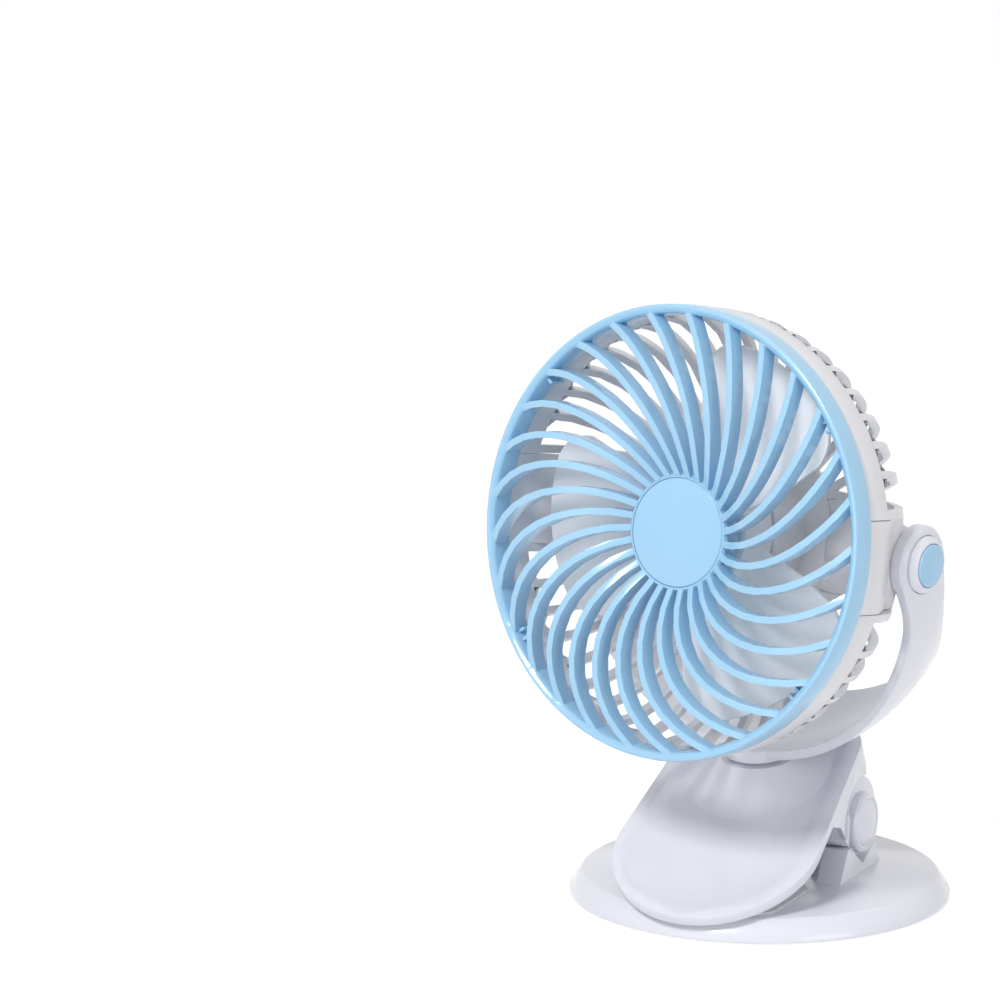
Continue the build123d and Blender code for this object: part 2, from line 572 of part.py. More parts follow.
def pivot_insert():
    """Coloured disc set in the pivot cap, right-hand side."""
    disc = rod(INSERT_RADIUS, PIVOT_CAP_FACE - 1.2, PIVOT_CAP_FACE + INSERT_PROUD)
    rim = disc.edges().filter_by(GeomType.CIRCLE).sort_by(Axis.Z)[-1]
    return SIDE.location * chamfer(rim, 0.4)


# ---- head: grille --------------------------------------------------------------------------------
def dome_height(radius):
    """How far the spokes' front edge stands ahead of the ring's front edge at this radius."""
    if radius < DOME_RADIUS:
        drop = DOME_HEIGHT + HUB_RECESS + 1.2
        return DOME_HEIGHT - drop * ((DOME_RADIUS - radius) / (DOME_RADIUS - HUB_RADIUS + 3)) ** 2
    drop = DOME_HEIGHT + 1.6
    return DOME_HEIGHT - drop * ((radius - DOME_RADIUS) / (RING_INNER + 1.5 - DOME_RADIUS)) ** 2


def spoke_angle(radius):
    """Angle round the centre of a spoke's arc at which the spoke is this far from the fan axis."""
    x, y = SPOKE_ARC_CENTRE
    reach = math.hypot(x, y)
    cosine = (reach ** 2 + SPOKE_ARC_RADIUS ** 2 - radius ** 2) / (2 * reach * SPOKE_ARC_RADIUS)
    return math.atan2(-y, -x) + math.acos(cosine)


def spoke_section(angle):
    """Cross-section of a spoke, square to its arc and standing on the dome."""
    outward = (math.cos(angle), math.sin(angle), 0)
    x = SPOKE_ARC_CENTRE[0] + SPOKE_ARC_RADIUS * outward[0]
    y = SPOKE_ARC_CENTRE[1] + SPOKE_ARC_RADIUS * outward[1]
    middle = depth(-dome_height(math.hypot(x, y))) - SPOKE_DEPTH / 2
    frame = Plane(origin=(x, y, middle), x_dir=outward, z_dir=(-outward[1], outward[0], 0))
    return frame * Rectangle(SPOKE_WIDTH, SPOKE_DEPTH)


def spoke():
    """One swept spoke: a narrow bar along an arc from the hub to the ring."""
    first, last = spoke_angle(HUB_RADIUS - 1.0), spoke_angle(RING_INNER + 0.9)
    steps = SPOKE_SECTIONS - 1
    angles = [first + (last - first) * i / steps for i in range(SPOKE_SECTIONS)]
    return loft([spoke_section(angle) for angle in angles], ruled=True)


def grille_ring():
    """Outer ring: rounded front edge, straight outer wall, lip over the housing."""
    outer, inner = RING_RADIUS, RING_INNER
    points = [(inner - 0.5, depth(RING_DEPTH)), (inner, depth(1.4)), (inner + 0.6, depth(0.7)),
              (outer - 1.1, depth(0.0)), (outer - 0.3, depth(0.3)), (outer, depth(1.1)),
              (outer, depth(RING_DEPTH))]
    return spun(points)


def hub_rim():
    """Hub of the grille: shallow cup with a rim round the inset disc."""
    top = depth(HUB_RECESS)
    points = [(0, top - HUB_DEPTH), (HUB_RADIUS - 0.8, top - HUB_DEPTH), (HUB_RADIUS, top - 1.0),
              (HUB_RADIUS - 0.8, top), (HUB_DISC_RADIUS + 0.15, top),
              (HUB_DISC_RADIUS + 0.15, top - 1.2), (0, top - 1.2)]
    cup = spun(points)
    return cup - rod(HUB_DISC_RADIUS - 1.6, top - HUB_DEPTH - 1, top - 3.2)


def snap_hook(angle):
    """Pair of prongs on the ring's inner wall that snap into the housing."""
    prong = Pos(RING_INNER - 1.4, 1.6, depth(RING_DEPTH + 1.5)) * Box(
        2.0, 1.0, 7.0, align=(Align.CENTER, Align.CENTER, Align.MIN))
    pair = prong + mirror(prong, about=Plane.XZ)
    return Rot(0, 0, angle) * pair


def front_grille():
    """Ring, hub and 29 swept spokes in one moulding, with four snap hooks."""
    first = spoke()
    spokes = [Rot(0, 0, 360.0 * i / SPOKES) * first for i in range(SPOKES)]
    body = grille_ring() + hub_rim() + spokes
    trim = rod(RING_RADIUS, depth(RING_DEPTH + 6), depth(-10))
    body = body & trim
    return body + [snap_hook(angle) for angle in (38, 142, 218, 322)]


def hub_disc():
    """Plain disc set in the hub, bare of lettering."""
    top = depth(HUB_RECESS)
    disc = rod(HUB_DISC_RADIUS, top - 1.2, top + 0.1)
    rim = disc.edges().filter_by(GeomType.CIRCLE).sort_by(Axis.Z)[-1]
    return chamfer(rim, 0.3)


# ---- head: housing -------------------------------------------------------------------------------
def housing_corner(inset, turn):
    """Point (radius, local z) on the rounded shoulder, turned this many radians from its side."""
    corner = HOUSING_CORNER - inset
    return (HOUSING_RADIUS - HOUSING_CORNER + corner * math.cos(turn),
            depth(HOUSING_STRAIGHT) - corner * math.sin(turn))


def housing_back(inset, radius):
    """Point (radius, local z) on the sloping back, its wall moved in by inset."""
    slope = math.radians(HOUSING_BACK_SLOPE)
    low = housing_corner(inset, math.pi / 2 - slope)
    return (radius, low[1] + (radius - low[0]) * math.tan(slope))


def housing_line(inset, front, inner_radius):
    """Line of the housing's wall from its front edge round the shoulder to an inner radius."""
    slope = math.radians(HOUSING_BACK_SLOPE)
    side = housing_corner(inset, 0)
    middle = housing_corner(inset, (math.pi / 2 - slope) / 2)
    low = housing_corner(inset, math.pi / 2 - slope)
    return [Line((side[0], front), side), ThreePointArc(side, middle, low),
            Line(low, housing_back(inset, inner_radius))]


def housing_inside(inset, front, inner_radius):
    """The same line in short straight steps, as points, for the unseen inner side."""
    slope = math.radians(HOUSING_BACK_SLOPE)
    turns = [(math.pi / 2 - slope) * i / INNER_STEPS for i in range(INNER_STEPS + 1)]
    points = [housing_corner(inset, turn) for turn in turns]
    return [(points[0][0], front)] + points + [housing_back(inset, inner_radius)]


def housing_form():
    """Solid bowl with the outer shape of the housing."""
    front = depth(RING_DEPTH)
    line = housing_line(0.0, front, 0.0)
    rim = line[0] @ 0
    curve = line + [Line(line[-1] @ 1, (0, front)), Line((0, front), rim)]
    return revolve(Plane.XZ * make_face(Curve() + curve), axis=Axis.Z)


def housing_hollow(inset=HOUSING_WALL):
    """Space inside the housing's wall, open to the front."""
    points = housing_inside(inset, FRONT_DEPTH, 0.0)
    return spun(points + [(0, FRONT_DEPTH)])


def rib():
    """One parallel rib of the housing, from the plain band round the shoulder to the back."""
    front = depth(SLOT_FRONT - 1.0)
    outside = housing_line(RIB_STEP, front, SLOT_INNER_RADIUS)
    inside = housing_inside(HOUSING_WALL + RIB_STEP, front, SLOT_INNER_RADIUS)
    inside.reverse()
    edges = outside + [Line(outside[-1] @ 1, inside[0]), Polyline(*inside),
                       Line(inside[-1], outside[0] @ 0)]
    bar = extrude(Plane.XZ * make_face(Curve() + edges), RIB_WIDTH / 2, both=True)
    return bar


def rib_angles():
    """Angles of the ribs, leaving out those behind the pivot pods."""
    angles = [360.0 * i / SLOT_COUNT for i in range(SLOT_COUNT)]
    blocked = math.degrees(math.asin((WINDOW_HALF + RIB_WIDTH) / (HOUSING_RADIUS - 10)))
    return [a for a in angles if min(abs((a + 90) % 180 - 90), 90) > blocked]


def window(grow=0.0):
    """Opening at both sides of the housing that takes the pods, open to the front."""
    height = 2 * (WINDOW_HALF + grow)
    length = POD_REAR - RING_DEPTH
    box = Pos(0, 0, depth(POD_REAR + grow)) * Box(
        200, height, length + 3, align=(Align.CENTER, Align.CENTER, Align.MIN))
    core = Box(2 * (COLLAR_RADIUS + 9), 200, 200)
    return box - core


def rear_housing():
    """Bowl of ribs behind the impeller, with the motor collar and pod windows."""
    band = spun([(HOUSING_RADIUS - HOUSING_WALL, depth(RING_DEPTH)),
                 (HOUSING_RADIUS, depth(RING_DEPTH)), (HOUSING_RADIUS, depth(SLOT_FRONT)),
                 (HOUSING_RADIUS - HOUSING_WALL, depth(SLOT_FRONT))])
    edge = SLOT_INNER_RADIUS + 2.0
    motor = COLLAR_RADIUS - COLLAR_WALL
    back = spun([housing_back(-RIB_STEP, motor), housing_back(-RIB_STEP, edge),
                 housing_back(HOUSING_WALL + 2 * RIB_STEP, edge),
                 housing_back(HOUSING_WALL + 2 * RIB_STEP, motor)])
    ribs = [Rot(0, 0, angle) * rib() for angle in rib_angles()]
    slab = Box(200, 2 * (WINDOW_HALF + RIB_WIDTH), 200) - Box(200, 2 * WINDOW_HALF - 1, 210)
    frames = (housing_form() - housing_hollow()) & (slab - rod(motor, -100, 100))
    shell = band + ribs + frames + back - window()
    collar = spun([(SHAFT_RADIUS + 2.5, depth(COLLAR_FRONT)), (COLLAR_RADIUS, depth(COLLAR_FRONT)),
                   (COLLAR_RADIUS, depth(HOUSING_DEPTH - 5)), (motor, depth(HOUSING_DEPTH - 5)),
                   (motor, depth(COLLAR_FRONT + 5)), (SHAFT_RADIUS + 2.5, depth(COLLAR_FRONT + 5))])
    seat = spun([(motor, depth(HOUSING_DEPTH)), (REAR_CAP_RADIUS + 1, depth(HOUSING_DEPTH)),
                 (REAR_CAP_RADIUS + 1, depth(HOUSING_DEPTH - 5.5)),
                 (motor, depth(HOUSING_DEPTH - 5.5))])
    shell += collar + seat
    for x, y in rear_screw_places():
        shell += rod(2.8, depth(HOUSING_DEPTH - 1), depth(HOUSING_DEPTH - 9), x, y)
        shell -= rod(SCREW_RADIUS, depth(HOUSING_DEPTH + 1), depth(HOUSING_DEPTH - 7), x, y)
    return shell


def rear_screw_places():
    """Three screws of the rear cap."""
    radius = COLLAR_RADIUS - 3.6
    return [(radius * math.cos(math.radians(a)), radius * math.sin(math.radians(a)))
            for a in (90, 210, 330)]


def pivot_pod():
    """Curved pod in the housing's side with a flared neck to the ear, right-hand side."""
    turn = SIDE.location
    face = EAR_INNER - EAR_GAP
    height = 2 * (WINDOW_HALF - POD_GAP)
    side = window(-POD_GAP) & Pos(50, 0, 0) * Box(100, 200, 200)
    patch = (housing_form() & side) - housing_hollow()
    inner = POD_INNER_X
    flare = turn * spun([(0, inner), (WINDOW_HALF - 2.3, inner), (NECK_RADIUS + 1.8, EAR_INNER - 6.3),
                         (NECK_RADIUS, EAR_INNER - 2.8), (NECK_RADIUS, face), (0, face)])
    behind, front = depth(POD_REAR - 5.5), POD_BOX_FRONT
    walls = Pos(inner, 0, behind) * Box(
        face - inner, height, front - behind, align=(Align.MIN, Align.CENTER, Align.MIN))
    walls -= Pos(inner - 1, 0, behind + POD_WALL) * Box(
        face - inner + 1 - 3.0, height - 2 * POD_WALL, front - behind - 2 * POD_WALL,
        align=(Align.MIN, Align.CENTER, Align.MIN))
    step = Pos(inner, 0, POD_RECESS_FRONT) * Box(
        20, height, POD_STEP, align=(Align.MIN, Align.CENTER, Align.MIN))
    body = ((walls + step) & housing_form()) + patch
    hollow = turn * rod(NECK_RADIUS - 2.4, inner - 1, face - 3.0)
    body += (flare - hollow)
    recess = turn * rod(EAR_RADIUS + 0.7, face, 90)
    recess += Pos(face, 0, POD_RECESS_FRONT) * Box(
        20, 40, POD_RECESS_LENGTH, align=(Align.MIN, Align.CENTER, Align.MAX))
    journal = turn * rod(PIVOT_RADIUS, face - 3.0, EAR_OUTER - CAP_RECESS - EAR_GAP)
    return body - recess + journal


def rear_cap():
    """Round cover on the back with the button hole, socket opening and two posts for the board."""
    cap = spun([(0, depth(HOUSING_DEPTH + 0.0)), (REAR_CAP_RADIUS, depth(HOUSING_DEPTH)),
                (REAR_CAP_RADIUS, depth(HOUSING_DEPTH + 1.4)),
                (REAR_CAP_RADIUS - 2.2, depth(REAR_CAP_DEPTH)), (0, depth(REAR_CAP_DEPTH))])
    cap -= rod(REAR_CAP_RADIUS - 3.0, depth(REAR_CAP_DEPTH - 1.6), depth(0))
    cap -= rod(BUTTON_RADIUS + SLIDE_CLEARANCE, depth(REAR_CAP_DEPTH + 1), depth(0))
    cap -= Pos(0, -12.5, depth(REAR_CAP_DEPTH)) * Box(SOCKET_WIDTH + 0.4, SOCKET_HEIGHT + 0.4, 8)
    cap -= rod(0.9, depth(REAR_CAP_DEPTH + 1), depth(0), 0, 9.5)
    for x in (-10, 10):
        cap += rod(1.5, depth(REAR_CAP_DEPTH - 1.2), depth(BOARD_BACK), x, 0)
    for x, y in rear_screw_places():
        cap += rod(3.0, depth(HOUSING_DEPTH), depth(REAR_CAP_DEPTH - 0.4), x, y)
        cap -= rod(SCREW_RADIUS + 0.2, depth(REAR_CAP_DEPTH + 1), depth(0), x, y)
        cap -= rod(SCREW_HEAD_RADIUS + 0.3, depth(REAR_CAP_DEPTH + 1),
                   depth(REAR_CAP_DEPTH - 1.0), x, y)
    return cap


def rear_screws():
    """Screws that hold the rear cap on the housing."""
    down = Plane(origin=(0, 0, 0), x_dir=(1, 0, 0), z_dir=(0, 0, -1))
    seat = -depth(REAR_CAP_DEPTH - 1.0)
    return Compound([down.location * screw(8.0, x, -y, seat, 1.0)
                     for x, y in rear_screw_places()])


def circuit_board():
    """Control board behind the motor, with the switch under the button."""
    back = depth(BOARD_BACK)
    front = back + BOARD_THICKNESS
    board = Pos(0, 0, back) * Box(
        26, 30, BOARD_THICKNESS, align=(Align.CENTER, Align.CENTER, Align.MIN))
    board = board & rod(COLLAR_RADIUS - 2.4, back, front)
    for x, y in rear_screw_places():
        board -= rod(3.4, back - 1, back + 3, x, y)
    switch = Pos(0, 0, back) * Box(
        5, 5, SWITCH_HEIGHT, align=(Align.CENTER, Align.CENTER, Align.MAX))
    chip = Pos(6, 6, front) * Box(5, 4, 1.0, align=(Align.CENTER, Align.CENTER, Align.MIN))
    return board + switch + chip


def usb_socket():
    """Charging socket on the board, its mouth in the rear cap."""
    front = depth(BOARD_BACK)
    mouth = depth(REAR_CAP_DEPTH - 0.3)
    shell = Pos(0, -12.5, mouth) * Box(SOCKET_WIDTH, SOCKET_HEIGHT, front - mouth,
                                       align=(Align.CENTER, Align.CENTER, Align.MIN))
    hollow = Pos(0, -12.5, mouth) * Box(SOCKET_WIDTH - 0.8, SOCKET_HEIGHT - 0.8, 5.0)
    tongue = Pos(0, -12.5, mouth + 0.6) * Box(SOCKET_WIDTH - 2.4, 0.6, 3.0,
                                              align=(Align.CENTER, Align.CENTER, Align.MIN))
    return shell - hollow + tongue


def speed_button():
    """Round push button in the middle of the rear cap."""
    inner = depth(BOARD_BACK) - SWITCH_HEIGHT - BUTTON_TRAVEL - 0.15
    body = rod(BUTTON_RADIUS, depth(REAR_CAP_DEPTH + 1.3), depth(REAR_CAP_DEPTH - 1.8))
    edge = body.edges().filter_by(GeomType.CIRCLE).sort_by(Axis.Z)[0]
    body = chamfer(edge, 0.6)
    flange = rod(BUTTON_RADIUS + 1.0, depth(REAR_CAP_DEPTH - 2.4), depth(REAR_CAP_DEPTH - 1.65))
    stem = rod(1.6, depth(REAR_CAP_DEPTH - 2.3), inner)
    return body + flange + stem


# ---- impeller and motor --------------------------------------------------------------------------
def blade_section(x, half_width, rise):
    """Cambered section of a blade across its length, half_width wide each way."""
    frame = Plane(origin=(x, 0, depth((IMPELLER_FRONT + IMPELLER_REAR) / 2) - 1.0),
                  x_dir=(0, 1, 0), z_dir=(1, 0, 0))
    steps = [i / BLADE_STEPS for i in range(-BLADE_STEPS, BLADE_STEPS + 1)]
    lower = [(half_width * s, BLADE_CAMBER * (1 - s * s) - rise * s) for s in steps]
    upper = [(y, z + BLADE_THICKNESS) for y, z in reversed(lower)]
    return frame * make_face(Polyline(*lower, *upper, close=True))


def blade():
    """One broad blade: lofted from root to tip, cut to its outline from the front."""
    reach = BLADE_RADIUS + 4.0
    sheet = loft([blade_section(12, 15, 5.6), blade_section(reach, 46, 5.2)], ruled=True)
    plan = make_face(Polyline((14, -12), (30, -27), (reach, -43), (reach, 36), (30, 22),
                              (14, 13), close=True)) & Circle(BLADE_RADIUS)
    corners = [v for v in plan.vertices() if math.hypot(v.X, v.Y) > BLADE_RADIUS - 1]
    plan = fillet(corners, 13)
    trimmed = sheet & Pos(0, 0, depth(60)) * extrude(plan, 60)
    return trimmed - rod(IMPELLER_HUB_RADIUS - 1.2, depth(60), depth(0))


def impeller_hub():
    """Cup that covers the motor, open to the rear."""
    front, rear = depth(IMPELLER_FRONT), depth(IMPELLER_REAR)
    radius = IMPELLER_HUB_RADIUS
    cup = spun([(0, rear), (radius, rear), (radius, front - 3.0), (radius - 0.9, front - 0.9),
                (radius - 3.0, front), (0, front)])
    inside = rod(radius - 1.6, rear - 1, front - 1.8)
    boss = rod(4.0, depth(IMPELLER_FRONT + 5.6), front - 1.0)
    return cup - inside + boss - rod(SHAFT_RADIUS, rear - 1, front - 3.0)


def impeller():
    """Hub cup with three broad translucent blades."""
    one = blade()
    return impeller_hub() + [Rot(0, 0, IMPELLER_TURN + 360.0 * index / BLADES) * one
                             for index in range(BLADES)]


def rotor():
    """Steel bell of the motor, pressed on the shaft under the impeller's cup."""
    front = depth(IMPELLER_FRONT + 5.6)
    rear = depth(IMPELLER_REAR - 0.4)
    bell = rod(ROTOR_RADIUS, rear, front) - rod(ROTOR_RADIUS - 1.4, rear - 1, front - 1.4)
    return bell - rod(SHAFT_RADIUS, rear - 1, front + 1)


def motor_shaft():
    """Shaft from the impeller hub back through the bearing tube."""
    return rod(SHAFT_RADIUS, depth(IMPELLER_FRONT + 3.2), depth(COLLAR_FRONT + 12))


def motor_stator():
    """Stator pack and bearing tube, seated on the motor collar."""
    front = depth(IMPELLER_FRONT + 8.0)
    seat = depth(COLLAR_FRONT)
    pack = rod(STATOR_RADIUS, seat + 0.0, front)
    for index in range(9):
        slot = Pos(STATOR_RADIUS - 2.0, 0, 0) * Box(7, 1.6, 60)
        pack -= Rot(0, 0, 40 * index) * slot
    tube = rod(SHAFT_RADIUS + 2.4, depth(COLLAR_FRONT + 11), front)
    return pack + tube - rod(SHAFT_RADIUS + SHAFT_CLEARANCE, depth(60), depth(0))


# ---- assembly ------------------------------------------------------------------------------------
def main():
    """Build every node and write it to the parts folder."""
    save("base_shell", base_shell())
    save("base_cover", base_cover())
    save("foot_ring", foot_ring())
    save("base_screws", base_screws())
    save("lower_grip", lower_grip())
    save("hinge_pin", hinge_pin())
    save("torsion_spring", torsion_spring())
    save("arm_top_shell", arm_top_shell())
    save("arm_lower_shell", arm_lower_shell())
    save("jaw_pad", jaw_pad())
    save("hinge_cap_right", hinge_cap())
    save("hinge_cap_left", mirror(hinge_cap(), about=Plane.YZ))
    save("arm_screws", arm_screws())
    save("cradle", cradle(), CRADLE)
    save("swivel_screw", swivel_screw(), CRADLE)
    save("pivot_cap_right", pivot_cap(), CRADLE)
    save("pivot_cap_left", mirror(pivot_cap(), about=Plane.YZ), CRADLE)
    save("pivot_insert_right", pivot_insert(), CRADLE)
    save("pivot_insert_left", mirror(pivot_insert(), about=Plane.YZ), CRADLE)
    save("front_grille", front_grille(), HEAD)
    save("hub_disc", hub_disc(), HEAD)
    save("rear_housing", rear_housing(), HEAD)
    save("pivot_pod_right", pivot_pod(), HEAD)
    save("pivot_pod_left", mirror(pivot_pod(), about=Plane.YZ), HEAD)
    save("rear_cap", rear_cap(), HEAD)
    save("rear_screws", rear_screws(), HEAD)
    save("circuit_board", circuit_board(), HEAD)
    save("usb_socket", usb_socket(), HEAD)
    save("speed_button", speed_button(), HEAD)
    save("impeller", impeller(), HEAD)
    save("rotor", rotor(), HEAD)
    save("motor_shaft", motor_shaft(), HEAD)
    save("motor_stator", motor_stator(), HEAD)


if __name__ == "__main__":
    main()
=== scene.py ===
"""Looks, light and camera for the clip fan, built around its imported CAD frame."""
from __future__ import annotations

import json
import logging
import math
from dataclasses import dataclass, field
from enum import Enum
from typing import Callable, Iterable

import bmesh
import bpy
from mathutils import Matrix, Vector

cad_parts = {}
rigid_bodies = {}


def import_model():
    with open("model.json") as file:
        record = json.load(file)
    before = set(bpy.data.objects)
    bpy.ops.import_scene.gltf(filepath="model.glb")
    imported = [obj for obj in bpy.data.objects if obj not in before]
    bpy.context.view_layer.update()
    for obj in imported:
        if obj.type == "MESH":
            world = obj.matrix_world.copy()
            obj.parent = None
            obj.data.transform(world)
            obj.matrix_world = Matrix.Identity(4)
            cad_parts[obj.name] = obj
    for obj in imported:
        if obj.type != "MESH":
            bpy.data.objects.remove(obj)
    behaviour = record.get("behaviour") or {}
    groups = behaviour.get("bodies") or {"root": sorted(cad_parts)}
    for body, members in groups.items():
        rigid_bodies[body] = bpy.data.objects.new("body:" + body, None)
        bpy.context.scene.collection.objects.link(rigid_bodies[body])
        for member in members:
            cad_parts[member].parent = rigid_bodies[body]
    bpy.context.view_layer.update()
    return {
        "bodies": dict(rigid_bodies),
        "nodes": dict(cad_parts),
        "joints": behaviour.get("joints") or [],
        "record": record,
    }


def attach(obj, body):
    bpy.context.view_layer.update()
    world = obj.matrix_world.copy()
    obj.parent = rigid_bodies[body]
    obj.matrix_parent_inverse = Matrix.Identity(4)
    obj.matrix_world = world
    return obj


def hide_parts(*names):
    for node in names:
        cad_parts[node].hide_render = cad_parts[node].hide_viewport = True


LOG = logging.getLogger("clip_fan")
MM = 0.001
Colour = tuple[float, float, float]


class Body(Enum):
    """Rigid bodies of the fan."""

    BASE = "base"
    ARM = "arm"
    CRADLE = "cradle"
    HEAD = "head"
    BUTTON = "button"
    FAN = "fan"


def frame_matrix(origin: Vector, right: Vector, outward: Vector) -> Matrix:
    """Placement of a local frame.

    Args:
        origin: Its origin in millimetres.
        right: Direction of its x axis.
        outward: Direction of its z axis.

    Returns:
        Matrix from the local frame, in metres, to the row frame.
    """
    turned = Matrix((right, outward.cross(right), outward)).transposed().to_4x4()
    return Matrix.Translation(origin * MM) @ turned


SLOPE, LEAN, TURN, RISE = (math.radians(angle) for angle in (28.0, 8.5, 12.7, 16.3))
TILT_CENTRE = Vector((0.0, -13.9, 127.3))
SWIVEL_AXIS = Vector((0.0, -math.sin(LEAN), math.cos(LEAN)))
TILT_AXIS = (Vector((1.0, 0.0, 0.0)) * math.cos(TURN)
             - Vector((0.0, math.cos(LEAN), math.sin(LEAN))) * math.sin(TURN))
FAN_AXIS = (SWIVEL_AXIS.cross(TILT_AXIS) * -math.cos(RISE) + SWIVEL_AXIS * math.sin(RISE))
HEAD_PLACE = frame_matrix(TILT_CENTRE, TILT_AXIS, FAN_AXIS)
SEAT_PLACE = frame_matrix(TILT_CENTRE - SWIVEL_AXIS * 80.3, Vector((1.0, 0.0, 0.0)), SWIVEL_AXIS)
PLATE_PLACE = frame_matrix(Vector((0.0, -35.3, 23.6)), Vector((1.0, 0.0, 0.0)),
                           Vector((0.0, -math.sin(SLOPE), math.cos(SLOPE))))
Shape = Callable[[bmesh.types.BMesh], None]

# Sizes of the CAD, in millimetres.
FRONT_DEPTH = 45.4  # front edge of the ring ahead of the tilt axis
SLOT_FRONT = 19.0  # front end of the housing's slots behind that edge
REAR_CAP_DEPTH = 57.0  # face of the rear cap behind that edge
SLOT_COUNT = 46
RIB_HALF = 1.35
HINGE_Y, HINGE_Z = 11.6, 25.1
PLATE_CREST = 1.8  # border of the pressing plate above its reference plane

# Clean-up of meshes: distances in millimetres, angles in degrees.
NODE_WELD, PIECE_WELD, CUT_SNAP = 0.004, 0.002, 0.01
FLAT_ANGLE, EDGE_ANGLE, SHADE_ANGLE = 0.6, 38.0, 40.0


# ---- shader groups --------------------------------------------------------------------------


def group_socket(group: bpy.types.NodeTree, name: str, kind: str, into: bool,
                 default: object = None) -> None:
    """Add a named socket to a shader group.

    Args:
        group: The group's node tree.
        name: The socket's name.
        kind: Its socket type, such as NodeSocketFloat.
        into: True for an input, False for an output.
        default: The value it starts with.
    """
    side = "INPUT" if into else "OUTPUT"
    socket = group.interface.new_socket(name=name, in_out=side, socket_type=kind)
    if default is not None:
        socket.default_value = default


def link(tree: bpy.types.NodeTree, source: bpy.types.NodeSocket,
         target: bpy.types.NodeSocket) -> None:
    """Join two sockets of a node tree."""
    tree.links.new(source, target)


def math_node(tree: bpy.types.NodeTree, operation: str, first: object,
              second: object) -> bpy.types.NodeSocket:
    """Add a Math node.

    Args:
        tree: The tree it goes in.
        operation: The name of the sum.
        first: A socket or a number.
        second: A socket or a number.

    Returns:
        The node's output socket.
    """
    node = tree.nodes.new("ShaderNodeMath")
    node.operation = operation
    for index, value in enumerate((first, second)):
        if isinstance(value, bpy.types.NodeSocket):
            link(tree, value, node.inputs[index])
        else:
            node.inputs[index].default_value = value
    return node.outputs[0]


def noise_node(tree: bpy.types.NodeTree, vector: bpy.types.NodeSocket, scale: object,
               detail: float) -> bpy.types.NodeSocket:
    """Add a Noise Texture read at a vector.

    Args:
        tree: The tree it goes in.
        vector: The coordinates.
        scale: A socket or a number.
        detail: Octaves of the noise.

    Returns:
        The noise value from 0 to 1.
    """
    node = tree.nodes.new("ShaderNodeTexNoise")
    node.inputs["Detail"].default_value = detail
    link(tree, vector, node.inputs["Vector"])
    if isinstance(scale, bpy.types.NodeSocket):
        link(tree, scale, node.inputs["Scale"])
    else:
        node.inputs["Scale"].default_value = scale
    return node.outputs["Fac"]


@dataclass(frozen=True)
class ToneDrift:
    """Group that drifts a colour slightly over the surface, as moulded plastic does."""

    name: str = "tone_drift"

    def tree(self) -> bpy.types.NodeTree:
        """Build the group once and return it."""
        if self.name in bpy.data.node_groups:
            return bpy.data.node_groups[self.name]
        group = bpy.data.node_groups.new(self.name, "ShaderNodeTree")
        group_socket(group, "Colour", "NodeSocketColor", True, (0.8, 0.8, 0.8, 1))
        group_socket(group, "Amount", "NodeSocketFloat", True, 0.03)
        group_socket(group, "Scale", "NodeSocketFloat", True, 25.0)
        group_socket(group, "Colour", "NodeSocketColor", False)
        entry = group.nodes.new("NodeGroupInput")
        leave = group.nodes.new("NodeGroupOutput")
        place = group.nodes.new("ShaderNodeTexCoord").outputs["Object"]
        noise = noise_node(group, place, entry.outputs["Scale"], 3.0)
        centred = math_node(group, "SUBTRACT", noise, 0.5)
        shift = math_node(group, "MULTIPLY", centred, entry.outputs["Amount"])
        value = math_node(group, "ADD", shift, 1.0)
        tint = group.nodes.new("ShaderNodeHueSaturation")
        link(group, entry.outputs["Colour"], tint.inputs["Color"])
        link(group, value, tint.inputs["Value"])
        link(group, tint.outputs["Color"], leave.inputs["Colour"])
        return group


@dataclass(frozen=True)
class DustFilm:
    """Group that lays a thin pale film on faces that look up."""

    name: str = "dust_film"

    def tree(self) -> bpy.types.NodeTree:
        """Build the group once and return it."""
        if self.name in bpy.data.node_groups:
            return bpy.data.node_groups[self.name]
        group = bpy.data.node_groups.new(self.name, "ShaderNodeTree")
        group_socket(group, "Colour", "NodeSocketColor", True, (0.8, 0.8, 0.8, 1))
        group_socket(group, "Roughness", "NodeSocketFloat", True, 0.3)
        group_socket(group, "Cover", "NodeSocketFloat", True, 0.1)
        group_socket(group, "Colour", "NodeSocketColor", False)
        group_socket(group, "Roughness", "NodeSocketFloat", False)
        entry = group.nodes.new("NodeGroupInput")
        leave = group.nodes.new("NodeGroupOutput")
        place = group.nodes.new("ShaderNodeTexCoord").outputs["Object"]
        speck = noise_node(group, place, 900.0, 2.0)
        cloud = noise_node(group, place, 60.0, 4.0)
        facing = group.nodes.new("ShaderNodeSeparateXYZ")
        link(group, group.nodes.new("ShaderNodeNewGeometry").outputs["Normal"],
             facing.inputs[0])
        upward = math_node(group, "MAXIMUM", facing.outputs["Z"], 0.0)
        patch = math_node(group, "MULTIPLY", speck, cloud)
        spread = math_node(group, "MULTIPLY", patch, upward)
        mask = math_node(group, "MULTIPLY", spread, entry.outputs["Cover"])
        mix = group.nodes.new("ShaderNodeMix")
        mix.data_type = "RGBA"
        link(group, mask, mix.inputs["Factor"])
        link(group, entry.outputs["Colour"], mix.inputs["A"])
        mix.inputs["B"].default_value = (0.62, 0.6, 0.57, 1)
        rough = math_node(group, "ADD", entry.outputs["Roughness"], mask)
        link(group, mix.outputs["Result"], leave.inputs["Colour"])
        link(group, rough, leave.inputs["Roughness"])
        return group


